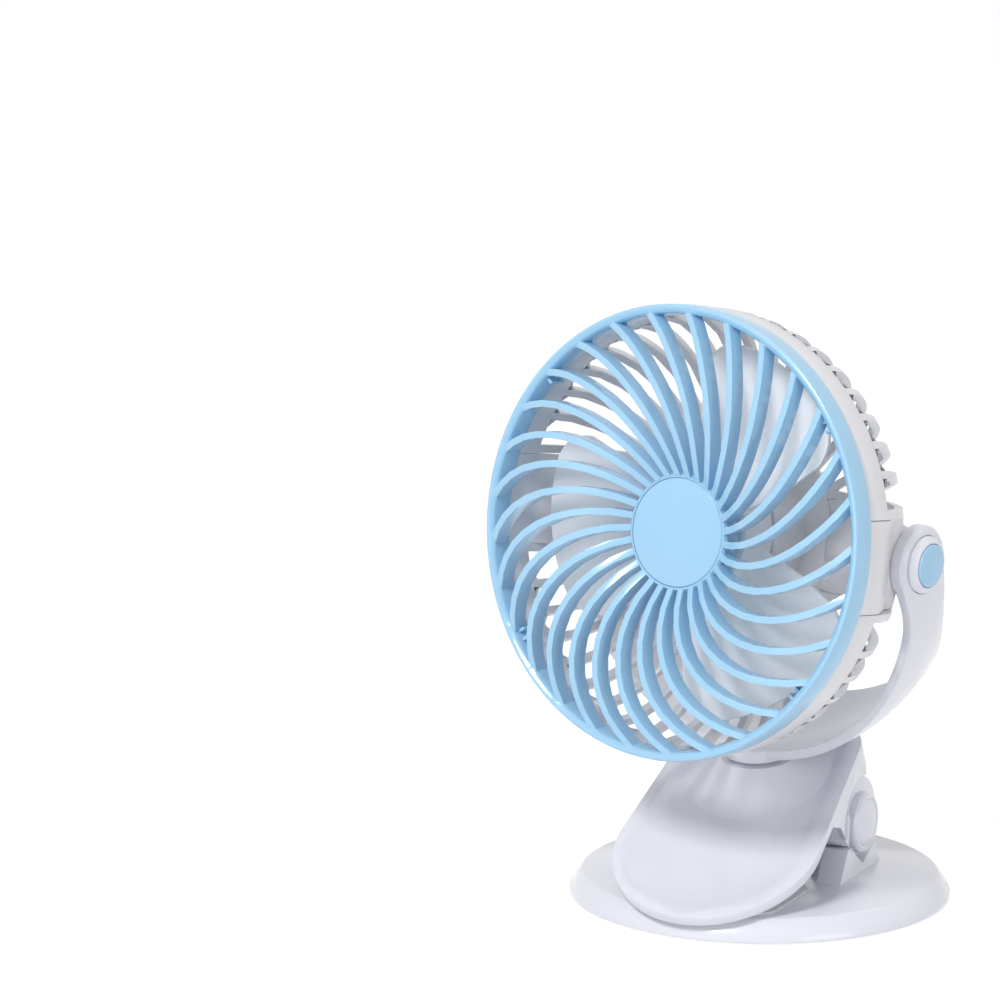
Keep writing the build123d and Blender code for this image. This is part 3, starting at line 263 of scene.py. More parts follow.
@dataclass(frozen=True)
class SparkGrain:
    """Group that gives the fine spark-eroded grain of a mould as a bump height."""

    name: str = "spark_grain"

    def tree(self) -> bpy.types.NodeTree:
        """Build the group once and return it."""
        if self.name in bpy.data.node_groups:
            return bpy.data.node_groups[self.name]
        group = bpy.data.node_groups.new(self.name, "ShaderNodeTree")
        group_socket(group, "Grain", "NodeSocketFloat", True, 2200.0)
        group_socket(group, "Ripple", "NodeSocketFloat", True, 90.0)
        group_socket(group, "Ripple share", "NodeSocketFloat", True, 0.5)
        group_socket(group, "Height", "NodeSocketFloat", False)
        group_socket(group, "Mask", "NodeSocketFloat", False)
        entry = group.nodes.new("NodeGroupInput")
        leave = group.nodes.new("NodeGroupOutput")
        place = group.nodes.new("ShaderNodeTexCoord").outputs["Object"]
        grain = noise_node(group, place, entry.outputs["Grain"], 2.0)
        ripple = noise_node(group, place, entry.outputs["Ripple"], 1.0)
        slow = math_node(group, "MULTIPLY", ripple, entry.outputs["Ripple share"])
        link(group, math_node(group, "ADD", grain, slow), leave.inputs["Height"])
        link(group, grain, leave.inputs["Mask"])
        return group


def place_group(tree: bpy.types.NodeTree, group: bpy.types.NodeTree,
                **values: object) -> bpy.types.Node:
    """Put a shader group in a material.

    Args:
        tree: The material's node tree.
        group: The group.
        **values: Input values by socket name, with underscores for spaces.

    Returns:
        The group node.
    """
    node = tree.nodes.new("ShaderNodeGroup")
    node.node_tree = group
    for name, value in values.items():
        node.inputs[name.replace("_", " ")].default_value = value
    return node


# ---- finishes -------------------------------------------------------------------------------


def bare_material(name: str) -> tuple[bpy.types.Material, bpy.types.Node]:
    """Make an empty node material.

    Args:
        name: The material's name.

    Returns:
        The material and its Principled shader.
    """
    material = bpy.data.materials.new(name)
    material.use_nodes = True
    return material, material.node_tree.nodes["Principled BSDF"]


def rgba(colour: Colour) -> tuple[float, float, float, float]:
    """Colour with full cover."""
    return (*colour, 1.0)


def add_bump(tree: bpy.types.NodeTree, shader: bpy.types.Node, grain: bpy.types.Node,
             strength: float, distance: float) -> None:
    """Lead the height of a grain group into a shader's normal.

    Args:
        tree: The material's node tree.
        shader: Its Principled shader.
        grain: The node of the grain group.
        strength: Share of the bump.
        distance: Height of the bump in metres.
    """
    bump = tree.nodes.new("ShaderNodeBump")
    bump.inputs["Strength"].default_value = strength
    bump.inputs["Distance"].default_value = distance
    link(tree, grain.outputs["Height"], bump.inputs["Height"])
    link(tree, bump.outputs["Normal"], shader.inputs["Normal"])


@dataclass(frozen=True)
class MouldedPlastic:
    """Injection-moulded plastic with a soft gloss."""

    name: str
    colour: Colour
    roughness: float = 0.26
    coat: float = 0.25
    drift: float = 0.02
    dust: float = 0.1
    bump: float = 0.006
    cover: float = 1.0

    def material(self) -> bpy.types.Material:
        """Build the material once and return it."""
        if self.name in bpy.data.materials:
            return bpy.data.materials[self.name]
        material, shader = bare_material(self.name)
        tree = material.node_tree
        tone = place_group(tree, ToneDrift().tree(), Colour=rgba(self.colour),
                           Amount=self.drift, Scale=22.0)
        dust = place_group(tree, DustFilm().tree(), Roughness=self.roughness,
                           Cover=self.dust)
        grain = place_group(tree, SparkGrain().tree(), Grain=1100.0, Ripple=60.0,
                            Ripple_share=1.5)
        link(tree, tone.outputs["Colour"], dust.inputs["Colour"])
        link(tree, dust.outputs["Colour"], shader.inputs["Base Color"])
        link(tree, dust.outputs["Roughness"], shader.inputs["Roughness"])
        add_bump(tree, shader, grain, self.bump, 0.0004)
        shader.inputs["Coat Weight"].default_value = self.coat
        shader.inputs["Coat Roughness"].default_value = 0.12
        shader.inputs["IOR"].default_value = 1.5
        shader.inputs["Alpha"].default_value = self.cover
        return material


@dataclass(frozen=True)
class SoftRubber:
    """Matt rubber of the pads and the foot ring."""

    name: str
    colour: Colour
    roughness: float = 0.75

    def material(self) -> bpy.types.Material:
        """Build the material once and return it."""
        if self.name in bpy.data.materials:
            return bpy.data.materials[self.name]
        material, shader = bare_material(self.name)
        tree = material.node_tree
        tone = place_group(tree, ToneDrift().tree(), Colour=rgba(self.colour),
                           Amount=0.12, Scale=140.0)
        dust = place_group(tree, DustFilm().tree(), Roughness=self.roughness, Cover=0.5)
        grain = place_group(tree, SparkGrain().tree(), Grain=1500.0, Ripple=240.0,
                            Ripple_share=0.3)
        link(tree, tone.outputs["Colour"], dust.inputs["Colour"])
        link(tree, dust.outputs["Colour"], shader.inputs["Base Color"])
        link(tree, dust.outputs["Roughness"], shader.inputs["Roughness"])
        add_bump(tree, shader, grain, 0.2, 0.0003)
        return material


@dataclass(frozen=True)
class TurnedSteel:
    """Turned or drawn steel with fine marks."""

    name: str
    colour: Colour
    roughness: float = 0.32

    def material(self) -> bpy.types.Material:
        """Build the material once and return it."""
        if self.name in bpy.data.materials:
            return bpy.data.materials[self.name]
        material, shader = bare_material(self.name)
        tree = material.node_tree
        tone = place_group(tree, ToneDrift().tree(), Colour=rgba(self.colour),
                           Amount=0.15, Scale=420.0)
        grain = place_group(tree, SparkGrain().tree(), Grain=3800.0, Ripple=500.0,
                            Ripple_share=0.4)
        spread = math_node(tree, "MULTIPLY", grain.outputs["Mask"], 0.16)
        rough = math_node(tree, "ADD", spread, self.roughness - 0.08)
        link(tree, tone.outputs["Colour"], shader.inputs["Base Color"])
        link(tree, rough, shader.inputs["Roughness"])
        add_bump(tree, shader, grain, 0.08, 0.0002)
        shader.inputs["Metallic"].default_value = 1.0
        return material


class Finish(Enum):
    """Finishes of the fan by the record's material slot."""

    WHITE = ("body_white", MouldedPlastic("white_plastic", (0.76, 0.77, 0.84), 0.2, 0.4))
    FIELD = ("body_white", MouldedPlastic("field_plastic", (0.76, 0.77, 0.84), 0.5, 0.0))
    HOUSING = ("body_white", MouldedPlastic("housing_plastic", (0.77, 0.77, 0.80), 0.3, 0.15))
    BLUE = ("accent_blue", MouldedPlastic("blue_plastic", (0.34, 0.61, 0.84), 0.2, 0.6))
    FROSTED = ("frosted_clear", MouldedPlastic("frosted_plastic", (0.97, 0.96, 0.96), 0.5,
                                               0.05, 0.02, 0.05, 0.006, 0.93))
    RUBBER = ("rubber_grey", SoftRubber("grey_rubber", (0.42, 0.43, 0.47)))
    PAD = ("rubber_grey", SoftRubber("pale_rubber", (0.7, 0.71, 0.75), 0.5))
    SCREW = ("screw_steel", TurnedSteel("screw_steel", (0.62, 0.62, 0.64), 0.3))
    PIN = ("pin_steel", TurnedSteel("pin_steel", (0.7, 0.7, 0.71), 0.22))
    SPRING = ("spring_steel", TurnedSteel("spring_steel", (0.5, 0.5, 0.52), 0.3))
    SOCKET = ("socket_steel", TurnedSteel("socket_steel", (0.66, 0.66, 0.68), 0.25))
    MOTOR = ("motor_steel", TurnedSteel("motor_steel", (0.42, 0.43, 0.45), 0.4))
    LENS = ("frosted_clear", MouldedPlastic("lamp_lens", (0.88, 0.9, 0.92), 0.12, 0.6))
    BOARD = ("board_green", MouldedPlastic("board_green", (0.03, 0.22, 0.1), 0.4, 0.4))

    @property
    def slot(self) -> str:
        """Material slot of the record."""
        return self.value[0]

    def material(self) -> bpy.types.Material:
        """The finish as a Blender material."""
        return self.value[1].material()


# ---- pieces ---------------------------------------------------------------------------------


def round_edges(work: bmesh.types.BMesh, edges: list[bmesh.types.BMEdge], width: float,
                segments: int) -> None:
    """Round edges of a mesh.

    Args:
        work: The mesh.
        edges: The edges to round.
        width: Width of the rounding in millimetres.
        segments: Faces across it.
    """
    bmesh.ops.bevel(work, geom=edges, offset=width * MM, offset_type="OFFSET",
                    segments=segments, profile=0.5, affect="EDGES", clamp_overlap=True,
                    material=-1)


def cut(work: bmesh.types.BMesh, place: Vector, normal: Vector) -> None:
    """Cut a mesh along a plane without removing anything."""
    bmesh.ops.bisect_plane(work, geom=work.verts[:] + work.edges[:] + work.faces[:],
                           dist=CUT_SNAP * MM, plane_co=place, plane_no=normal)


def sharp_edges(work: bmesh.types.BMesh, angle: float) -> list[bmesh.types.BMEdge]:
    """Edges of a mesh that are sharper than this many degrees."""
    limit = math.radians(angle)
    return [e for e in work.edges if e.is_manifold and e.calc_face_angle(0.0) > limit]


def softened(node: bpy.types.Object, width: float, body: Body, finish: Finish,
             segments: int = 2, shape: Shape | None = None) -> bpy.types.Object:
    """Copy of a CAD node with its sharp edges rounded, shown in its place.

    Args:
        node: The CAD node.
        width: Width of the rounding in millimetres.
        body: Body that it rides.
        finish: Its finish.
        segments: Faces across a rounding.
        shape: Change to its form, made before the rounding.

    Returns:
        The new piece.
    """
    mesh = node.data.copy()
    piece = bpy.data.objects.new(f"{node.name}.soft", mesh)
    bpy.context.scene.collection.objects.link(piece)
    work = bmesh.new()
    work.from_mesh(mesh)
    bmesh.ops.remove_doubles(work, verts=work.verts, dist=NODE_WELD * MM)
    bmesh.ops.dissolve_degenerate(work, edges=work.edges, dist=NODE_WELD * MM)
    bmesh.ops.dissolve_limit(work, angle_limit=math.radians(FLAT_ANGLE), verts=work.verts,
                             edges=work.edges, delimit={"NORMAL"})
    if shape is not None:
        shape(work)
    round_edges(work, sharp_edges(work, EDGE_ANGLE), width, segments)
    work.to_mesh(mesh)
    work.free()
    finish_piece(piece, body, finish)
    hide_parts(node.name)
    return piece


def finish_piece(piece: bpy.types.Object, body: Body, finish: Finish) -> None:
    """Dress a new piece and put it on its body.

    Args:
        piece: The mesh object.
        body: Body that it rides.
        finish: Its finish.
    """
    mesh = piece.data
    mesh.materials.clear()
    mesh.materials.append(finish.material())
    mesh.shade_smooth()
    mesh.set_sharp_from_angle(angle=math.radians(SHADE_ANGLE))
    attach(piece, body.value)
    finish.slot


def dress_node(node: bpy.types.Object, finish: Finish) -> None:
    """Give a CAD node that stays in view its finish."""
    node.data.materials.clear()
    node.data.materials.append(finish.material())
    finish.slot


def piece_from(name: str, shape: Shape, place: Matrix, body: Body,
               finish: Finish) -> bpy.types.Object:
    """Build a new piece with bmesh operators.

    Args:
        name: The piece's name.
        shape: Function that models it in its own frame, in metres.
        place: Frame of the piece in the row frame.
        body: Body that it rides.
        finish: Its finish.

    Returns:
        The new piece.
    """
    work = bmesh.new()
    shape(work)
    bmesh.ops.remove_doubles(work, verts=work.verts, dist=PIECE_WELD * MM)
    bmesh.ops.recalc_face_normals(work, faces=work.faces)
    bmesh.ops.transform(work, matrix=place, verts=work.verts)
    mesh = bpy.data.meshes.new(name)
    work.to_mesh(mesh)
    work.free()
    piece = bpy.data.objects.new(name, mesh)
    bpy.context.scene.collection.objects.link(piece)
    finish_piece(piece, body, finish)
    return piece


@dataclass
class SubAssembly:
    """A body's CAD nodes with the finish and edge rounding of each."""

    frame: dict
    body: Body
    rounded: dict[str, tuple[float, Finish]] = field(default_factory=dict)
    plain: dict[str, Finish] = field(default_factory=dict)
    shapes: dict[str, Shape] = field(default_factory=dict)
    fine: frozenset[str] = frozenset()

    def build(self) -> list[bpy.types.Object]:
        """Round and dress the nodes.

        Returns:
            The pieces in view.
        """
        made = []
        for name, (width, finish) in self.rounded.items():
            made.append(softened(self.frame["nodes"][name], width, self.body, finish,
                                 4 if name in self.fine else 2, self.shapes.get(name)))
        for name, finish in self.plain.items():
            dress_node(self.frame["nodes"][name], finish)
            made.append(self.frame["nodes"][name])
        return made + self.extras()

    def extras(self) -> list[bpy.types.Object]:
        """Further modelled pieces of the body."""
        return []


def sweep_rings(work: bmesh.types.BMesh, rings: list[list[Vector]], closed: bool,
                capped: bool) -> None:
    """Join rings of points with faces.

    Args:
        work: Mesh that gets the faces.
        rings: Rings with the same number of points.
        closed: Join the last point of each ring to its first.
        capped: Close the first and the last ring with a face.
    """
    rows = [[work.verts.new(point) for point in ring] for ring in rings]
    count = len(rows[0])
    for low, high in zip(rows, rows[1:]):
        for index in range(count if closed else count - 1):
            after = (index + 1) % count
            work.faces.new((low[index], low[after], high[after], high[index]))
    if capped:
        work.faces.new(rows[0])
        work.faces.new(list(reversed(rows[-1])))


def circle(radius: float, height: float, sides: int, x: float = 0.0,
           y: float = 0.0) -> list[Vector]:
    """Ring of points round local z, in metres, from sizes in millimetres."""
    turns = (2 * math.pi * index / sides for index in range(sides))
    return [Vector((x + radius * math.cos(t), y + radius * math.sin(t), height)) * MM
            for t in turns]


def lathe(profile: list[tuple[float, float]], sides: int = 64, x: float = 0.0,
          y: float = 0.0) -> Shape:
    """Shape turned round local z.

    Args:
        profile: Points (radius, height) in millimetres, from end to end.
        sides: Points round the axis.
        x: Place of the axis.
        y: Place of the axis.

    Returns:
        The shape.
    """
    def build(work: bmesh.types.BMesh) -> None:
        sweep_rings(work, [circle(r, h, sides, x, y) for r, h in profile], True, True)
    return build


@dataclass(frozen=True)
class CrossScrews:
    """Screws with a cross recess, their heads toward local -z, in millimetres."""

    places: list[tuple[float, float]]
    face: float
    seat: float
    radius: float = 2.4
    shank: float = 1.3
    length: float = 8.0
    arm: float = 1.35
    slot: float = 0.32
    depth: float = 0.75
    floor_share: float = 0.6
    bevel: float = 0.3
    bevel_share: float = 0.9

    def outline(self) -> list[tuple[float, float]]:
        """Outline of the cross."""
        a, b = self.arm, self.slot
        corner = [(a, -b), (a, b), (b, b)]
        points = []
        for quarter in range(4):
            turn = math.pi / 2 * quarter
            points += [(x * math.cos(turn) - y * math.sin(turn),
                        x * math.sin(turn) + y * math.cos(turn)) for x, y in corner]
        return points

    def shape(self, work: bmesh.types.BMesh) -> None:
        """Model each screw: shank, bevelled head and tapered recess."""
        face, seat = self.face, self.seat
        for x, y in self.places:
            cross = self.outline()
            rim = [(self.radius * math.cos(math.atan2(v, u)),
                    self.radius * math.sin(math.atan2(v, u))) for u, v in cross]
            waist = self.shank / self.radius
            levels = [(rim, seat + self.length, waist), (rim, seat, waist),
                      (rim, seat, 1.0), (rim, face + self.bevel, 1.0),
                      (rim, face, self.bevel_share), (cross, face, 1.0),
                      (cross, face + self.depth, self.floor_share)]
            rings = [[Vector((x + u * k, y + v * k, z)) * MM for u, v in points]
                     for points, z, k in levels]
            sweep_rings(work, rings, True, True)


class Base(SubAssembly):
    """Round base with its pads, pin and spring."""

    def __init__(self, frame: dict) -> None:
        """Name the base's nodes."""
        super().__init__(frame, Body.BASE)
        self.rounded = {"base_shell": (0.35, Finish.WHITE), "lower_grip": (0.2, Finish.PAD)}
        self.plain = {"base_cover": Finish.WHITE, "foot_ring": Finish.RUBBER,
                      "base_screws": Finish.SCREW, "hinge_pin": Finish.PIN,
                      "torsion_spring": Finish.SPRING}


# Forms of the arm, in millimetres.
BORDER_RUN = 1.7  # how far the crest's inner edge moves outward
CREST_SNAP = 0.05
BLISTER_TOP = 12.6  # radius at the cradle's seat
BLISTER_SIDES, BLISTER_STEPS = 96, 16
BLISTER_CURVE = 1.7
BLISTER_SKIN = 0.6
CHEEK_NEAR, CHEEK_FAR = 23.2, 32.4  # a web's two faces from the middle plane
CHEEK_SIDE = [(-21.9, 3.3), (-11.9, -5.6), (-10.4, 3.0), (-15.5, 11.0)]  # from the hinge

# The same, in metres.
PLATE_SPINE = 0.048  # length of the middle line that the border's inside faces
BLISTER_DROP = 0.0059  # middle of the foot below the seat, along the swivel axis
BLISTER_FOOT = 0.0255  # radius of the foot
FOOT_LEVEL = 0.00066  # height of the foot, just under the plate's field


class Arm(SubAssembly):
    """Sloping clip arm."""

    def __init__(self, frame: dict) -> None:
        """Name the arm's nodes."""
        super().__init__(frame, Body.ARM)
        self.rounded = {"arm_top_shell": (0.5, Finish.WHITE),
                        "arm_lower_shell": (0.3, Finish.WHITE),
                        "jaw_pad": (0.25, Finish.PAD),
                        "hinge_cap_right": (0.2, Finish.WHITE),
                        "hinge_cap_left": (0.2, Finish.WHITE)}
        self.plain = {"arm_screws": Finish.SCREW}
        self.shapes = {"arm_top_shell": self.sloped}

    @staticmethod
    def sloped(work: bmesh.types.BMesh) -> None:
        """Slope the step between the plate's border and its field."""
        bmesh.ops.transform(work, matrix=PLATE_PLACE.inverted(), verts=work.verts)
        work.normal_update()
        for vert in work.verts:
            if abs(vert.co.z - PLATE_CREST * MM) > CREST_SNAP * MM:
                continue
            middle = Vector((0.0, min(PLATE_SPINE, max(0.0, vert.co.y)), vert.co.z))
            inward = (middle - vert.co).normalized()
            # Faces of the step stand upright and look at the plate's middle line.
            steps = [face.normal.copy() for face in vert.link_faces
                     if abs(face.normal.z) < 0.1 and face.normal.dot(inward) > 0.3]
            if steps:
                vert.co -= sum(steps, Vector()).normalized() * BORDER_RUN * MM
        bmesh.ops.transform(work, matrix=PLATE_PLACE, verts=work.verts)

    def blister(self, work: bmesh.types.BMesh) -> None:
        """Smooth rise of the plate's field up to the cradle's seat."""
        into_plate = PLATE_PLACE.inverted()
        middle = into_plate @ (SEAT_PLACE @ Vector((0.0, 0.0, -BLISTER_DROP)))
        rings = []
        for step in range(BLISTER_STEPS + 1):
            share = step / BLISTER_STEPS
            ring = []
            for point in circle(BLISTER_TOP, 0.0, BLISTER_SIDES):
                top = into_plate @ (SEAT_PLACE @ point)
                outward = Vector((point.x, point.y, 0.0)).normalized()
                foot = Vector((middle.x, middle.y, 0.0)) + outward * BLISTER_FOOT
                flat = Vector((top.x, top.y, 0.0)).lerp(foot, share)
                rise = (top.z - FOOT_LEVEL) * (1 - share) ** BLISTER_CURVE
                ring.append(Vector((flat.x, flat.y, FOOT_LEVEL + rise)))
            rings.append(ring)
        skin = Vector((0.0, 0.0, BLISTER_SKIN * MM))
        under = [[point - skin for point in ring] for ring in rings]
        sweep_rings(work, [*rings, *reversed(under), rings[0]], True, False)

    def cheek(self, work: bmesh.types.BMesh) -> None:
        """Web that closes the side wall in front of the lug, on both sides."""
        for ends in ((CHEEK_NEAR, CHEEK_FAR), (-CHEEK_FAR, -CHEEK_NEAR)):
            rings = [[Vector((x, HINGE_Y + y, HINGE_Z + z)) * MM for y, z in CHEEK_SIDE]
                     for x in ends]
            sweep_rings(work, rings, True, True)

    def extras(self) -> list[bpy.types.Object]:
        """Blister under the cradle and the webs beside the lugs."""
        return [piece_from("arm_blister", self.blister, PLATE_PLACE, self.body, Finish.FIELD),
                piece_from("arm_cheeks", self.cheek, Matrix.Identity(4), self.body,
                           Finish.WHITE)]


class Cradle(SubAssembly):
    """Bowl-shaped yoke with its caps."""

    def __init__(self, frame: dict) -> None:
        """Name the cradle's nodes."""
        super().__init__(frame, Body.CRADLE)
        self.rounded = {"cradle": (0.6, Finish.WHITE), "pivot_cap_right": (0.3, Finish.WHITE),
                        "pivot_cap_left": (0.3, Finish.WHITE),
                        "pivot_insert_right": (0.15, Finish.BLUE),
                        "pivot_insert_left": (0.15, Finish.BLUE)}
        self.plain = {"swivel_screw": Finish.SCREW}


# Forms of the head, in millimetres and degrees.
POD_LEVELS = range(12, 34)  # the pod is cut across in the middle of these millimetres
POD_STRIPS, STRIP_WIDTH = range(-6, 7), 2.2  # cuts along it
POD_FOOT = 12.45  # corners less far ahead of the tilt axis stay
RAMP_START, RAMP_LENGTH = 12.5, 21.5
RAMP_LOW, RAMP_RISE, RAMP_CURVE = 65.5, 7.9, 1.15  # half width beside the ear, its growth
INNER_START, POD_WALL = 12.7, 2.2  # where the inner wall begins, and how far in it lies
WEB = 3.1  # radius of a corner
WEB_STEPS = 6
WEB_ROOT = 0.3  # how far a corner goes into its rib and the band
WEB_RADII = (70.9, 73.05)  # its two faces from the fan's axis
POD_ANGLE = 16.5  # no corners nearer than this to the middle of a pod
LAMP_RISE = 9.5
SCREW_CIRCLE, SCREW_ANGLES, SCREW_SEAT = 18.4, (90, 210, 330), 1.0


class Head(SubAssembly):
    """Grille, housing, motor and controls."""

    def __init__(self, frame: dict) -> None:
        """Name the head's nodes."""
        super().__init__(frame, Body.HEAD)
        self.rounded = {"front_grille": (0.75, Finish.BLUE), "hub_disc": (0.15, Finish.BLUE),
                        "rear_housing": (0.8, Finish.HOUSING),
                        "pivot_pod_right": (0.3, Finish.HOUSING),
                        "pivot_pod_left": (0.3, Finish.HOUSING),
                        "rear_cap": (0.25, Finish.HOUSING)}
        self.plain = {"circuit_board": Finish.BOARD,
                      "usb_socket": Finish.SOCKET, "motor_stator": Finish.MOTOR}
        self.fine = frozenset({"front_grille"})
        self.shapes = {"pivot_pod_right": self.ramped, "pivot_pod_left": self.ramped}

    @staticmethod
    def ramped(work: bmesh.types.BMesh) -> None:
        """Slope a pod's outside from the plain band down to the ear."""
        bmesh.ops.transform(work, matrix=HEAD_PLACE.inverted(), verts=work.verts)
        for step in POD_LEVELS:
            cut(work, Vector((0.0, 0.0, (step + 0.5) * MM)), Vector((0.0, 0.0, 1.0)))
        for step in POD_STRIPS:
            cut(work, Vector((0.0, STRIP_WIDTH * step * MM, 0.0)), Vector((0.0, 1.0, 0.0)))
        work.normal_update()
        outer = {vert for vert in work.verts if vert.normal.x * vert.co.x > 0.0}
        for vert in work.verts:
            x, z = vert.co.x / MM, vert.co.z / MM
            if z < POD_FOOT:
                continue
            share = min(1.0, max(0.0, z - RAMP_START) / RAMP_LENGTH)
            limit = RAMP_LOW + RAMP_RISE * math.sin(share * math.pi / 2) ** RAMP_CURVE
            limit -= 0.0 if z < INNER_START or vert in outer else POD_WALL
            if abs(x) > limit:
                vert.co.x = math.copysign(limit * MM, x)
        bmesh.ops.transform(work, matrix=HEAD_PLACE, verts=work.verts)

    @staticmethod
    def slot_webs(work: bmesh.types.BMesh) -> None:
        """Concave corners where the housing's ribs leave the plain band."""
        front = FRONT_DEPTH - SLOT_FRONT
        arc = [(RIB_HALF + WEB * (1 - math.sin(t)), front - WEB * (1 - math.cos(t)))
               for t in (math.pi / 2 * step / WEB_STEPS for step in range(WEB_STEPS + 1))]
        root = RIB_HALF - WEB_ROOT
        face = [(root, front + WEB_ROOT), *reversed(arc), (root, front - WEB)]
        for number in range(SLOT_COUNT):
            turn = math.radians(360.0 * number / SLOT_COUNT)
            from_pod = abs((math.degrees(turn) + 90) % 180 - 90)
            if from_pod < POD_ANGLE:
                continue
            spin = Matrix.Rotation(turn, 3, "Z")
            for side in (-1, 1):
                rings = [[spin @ (Vector((r, side * t, z)) * MM) for t, z in face]
                         for r in WEB_RADII]
                sweep_rings(work, rings, True, True)

    def lens(self, work: bmesh.types.BMesh) -> None:
        """Clear lens of the charge lamp in the rear cap."""
        back = FRONT_DEPTH - REAR_CAP_DEPTH
        profile = [(0.8, back + 1.5), (0.8, back + 0.1), (0.55, back - 0.1)]
        lathe(profile, 32, 0.0, LAMP_RISE)(work)

    def extras(self) -> list[bpy.types.Object]:
        """Corners of the housing's slots, charge lens and rear screws."""
        heads = [(SCREW_CIRCLE * math.cos(math.radians(angle)),
                  SCREW_CIRCLE * math.sin(math.radians(angle))) for angle in SCREW_ANGLES]
        back = FRONT_DEPTH - REAR_CAP_DEPTH
        model = CrossScrews(heads, back, back + SCREW_SEAT)
        screws = piece_from("rear_screws.cross", model.shape, HEAD_PLACE, self.body,
                            Finish.SCREW)
        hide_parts("rear_screws")
        return [piece_from("slot_webs", self.slot_webs, HEAD_PLACE, self.body, Finish.HOUSING),
                piece_from("charge_lens", self.lens, HEAD_PLACE, self.body, Finish.LENS),
                screws]


class Impeller(SubAssembly):
    """Blades, rotor and shaft."""

    def __init__(self, frame: dict) -> None:
        """Name the turning nodes."""
        super().__init__(frame, Body.FAN)
        self.rounded = {"impeller": (0.4, Finish.FROSTED)}
        self.plain = {"rotor": Finish.MOTOR, "motor_shaft": Finish.PIN}


class Button(SubAssembly):
    """Speed button."""

    def __init__(self, frame: dict) -> None:
        """Name the button's node."""
        super().__init__(frame, Body.BUTTON)
        self.rounded = {"speed_button": (0.15, Finish.BLUE)}


# ---- studio ---------------------------------------------------------------------------------


@dataclass(frozen=True)
class Lamp:
    """Soft square area lamp aimed at the fan, in metres and watts."""

    name: str
    place: tuple[float, float, float]
    size: float
    power: float
    colour: Colour = (1.0, 1.0, 1.0)

    def build(self, target: Vector) -> bpy.types.Object:
        """Make the lamp.

        Args:
            target: Point that it faces.

        Returns:
            The lamp.
        """
        data = bpy.data.lights.new(self.name, "AREA")
        data.energy, data.size, data.color = self.power, self.size, self.colour
        lamp = bpy.data.objects.new(self.name, data)
        lamp.location = self.place
        aim = target - Vector(self.place)
        lamp.rotation_euler = aim.to_track_quat("-Z", "Y").to_euler()
        bpy.context.scene.collection.objects.link(lamp)
        return lamp


@dataclass(frozen=True)
class PhotoCamera:
    """Camera at the photograph's viewing angle and framing, in millimetres and degrees."""

    azimuth: float = 26.0
    elevation: float = 11.6
    right: float = -87.5
    up: float = 131.9
    away: float = 1687.7
    lens: float = 180.0
    sensor: float = 36.0

    def build(self) -> bpy.types.Object:
        """Make the camera and hand it to the scene.

        Returns:
            The camera.
        """
        turn, rise = math.radians(self.azimuth), math.radians(self.elevation)
        back = Vector((math.sin(turn) * math.cos(rise), -math.cos(turn) * math.cos(rise),
                       math.sin(rise)))
        right = Vector((math.cos(turn), math.sin(turn), 0.0))
        upward = back.cross(right)
        data = bpy.data.cameras.new("photo_camera")
        data.lens, data.sensor_width = self.lens, self.sensor
        data.clip_start, data.clip_end = 0.1, 40.0
        camera = bpy.data.objects.new("photo_camera", data)
        place = (right * self.right + upward * self.up + back * self.away) * MM
        turned = Matrix((right, upward, back)).transposed().to_4x4()
        camera.matrix_world = Matrix.Translation(place) @ turned
        bpy.context.scene.collection.objects.link(camera)
        bpy.context.scene.camera = camera
        return camera


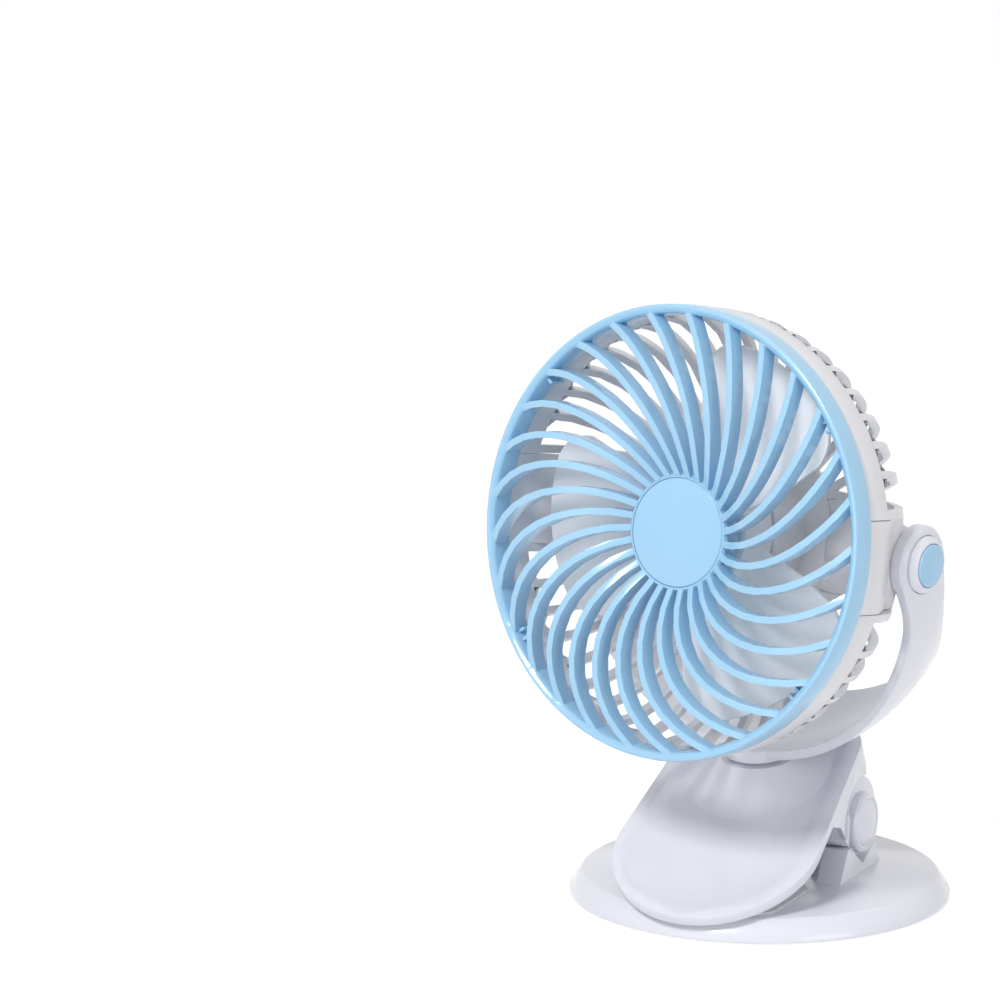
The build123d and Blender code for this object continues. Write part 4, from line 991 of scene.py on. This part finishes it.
@dataclass(frozen=True)
class Studio:
    """Pale floor, soft lamps and an even sky."""

    floor_half: float = 9.0
    floor_colour: Colour = (0.86, 0.86, 0.87)
    floor_glow: float = 0.55
    glow_strength: float = 1.4
    sky_light: float = 0.5
    lamps: tuple[Lamp, ...] = (
        Lamp("key_box", (-0.25, -1.65, 1.6), 0.5, 25.0),
        Lamp("front_box", (-0.5, -2.3, 0.15), 1.2, 3.4),
        Lamp("fill_box", (2.1, -1.0, 0.3), 1.2, 11.0),
        Lamp("top_box", (0.2, 0.9, 1.9), 1.2, 4.0),
    )

    def seen(self, tree: bpy.types.NodeTree) -> bpy.types.NodeSocket:
        """1 for rays from the camera, mirrors and glass."""
        path = tree.nodes.new("ShaderNodeLightPath").outputs
        near = math_node(tree, "MAXIMUM", path["Is Camera Ray"], path["Is Glossy Ray"])
        return math_node(tree, "MAXIMUM", near, path["Is Transmission Ray"])

    def floor(self) -> bpy.types.Object:
        """Make the floor."""
        work = bmesh.new()
        bmesh.ops.create_grid(work, x_segments=2, y_segments=2, size=self.floor_half)
        mesh = bpy.data.meshes.new("floor")
        work.to_mesh(mesh)
        work.free()
        floor = bpy.data.objects.new("floor", mesh)
        bpy.context.scene.collection.objects.link(floor)
        material, shader = bare_material("floor_paper")
        tree = material.node_tree
        shader.inputs["Base Color"].default_value = rgba(self.floor_colour)
        shader.inputs["Roughness"].default_value = 0.9
        glow = tree.nodes.new("ShaderNodeEmission")
        glow.inputs["Strength"].default_value = self.glow_strength
        mix = tree.nodes.new("ShaderNodeMixShader")
        share = math_node(tree, "MULTIPLY", self.seen(tree), self.floor_glow)
        link(tree, share, mix.inputs[0])
        link(tree, shader.outputs[0], mix.inputs[1])
        link(tree, glow.outputs[0], mix.inputs[2])
        link(tree, mix.outputs[0], tree.nodes["Material Output"].inputs["Surface"])
        mesh.materials.append(material)
        return floor

    def sky(self) -> None:
        """Light the world evenly and keep it white to the camera."""
        world = bpy.data.worlds.new("studio_sky")
        bpy.context.scene.world = world
        world.use_nodes = True
        tree = world.node_tree
        shade = tree.nodes["Background"]
        shade.inputs["Color"].default_value = (1.0, 1.0, 1.0, 1.0)
        extra = math_node(tree, "MULTIPLY", self.seen(tree), 1.0 - self.sky_light)
        link(tree, math_node(tree, "ADD", extra, self.sky_light), shade.inputs["Strength"])

    def build(self, target: Vector) -> None:
        """Make the floor, the sky and the lamps.

        Args:
            target: Point that the lamps face.
        """
        self.floor()
        self.sky()
        for lamp in self.lamps:
            lamp.build(target)


def report(pieces: Iterable[bpy.types.Object]) -> None:
    """Log each piece with its face count."""
    for piece in pieces:
        LOG.info("%s: %d faces", piece.name, len(piece.data.polygons))


def main() -> None:
    """Build the fan's looks, the studio and the camera."""
    logging.basicConfig(level=logging.INFO, format="%(name)s %(message)s")
    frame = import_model()
    for group in (Base, Arm, Cradle, Head, Impeller, Button):
        report(group(frame).build())
    Studio().build(Vector((0.0, 0.0, 0.1)))
    PhotoCamera().build()
    bpy.context.scene.view_settings.view_transform = "Standard"


if __name__ == "__main__":
    main()
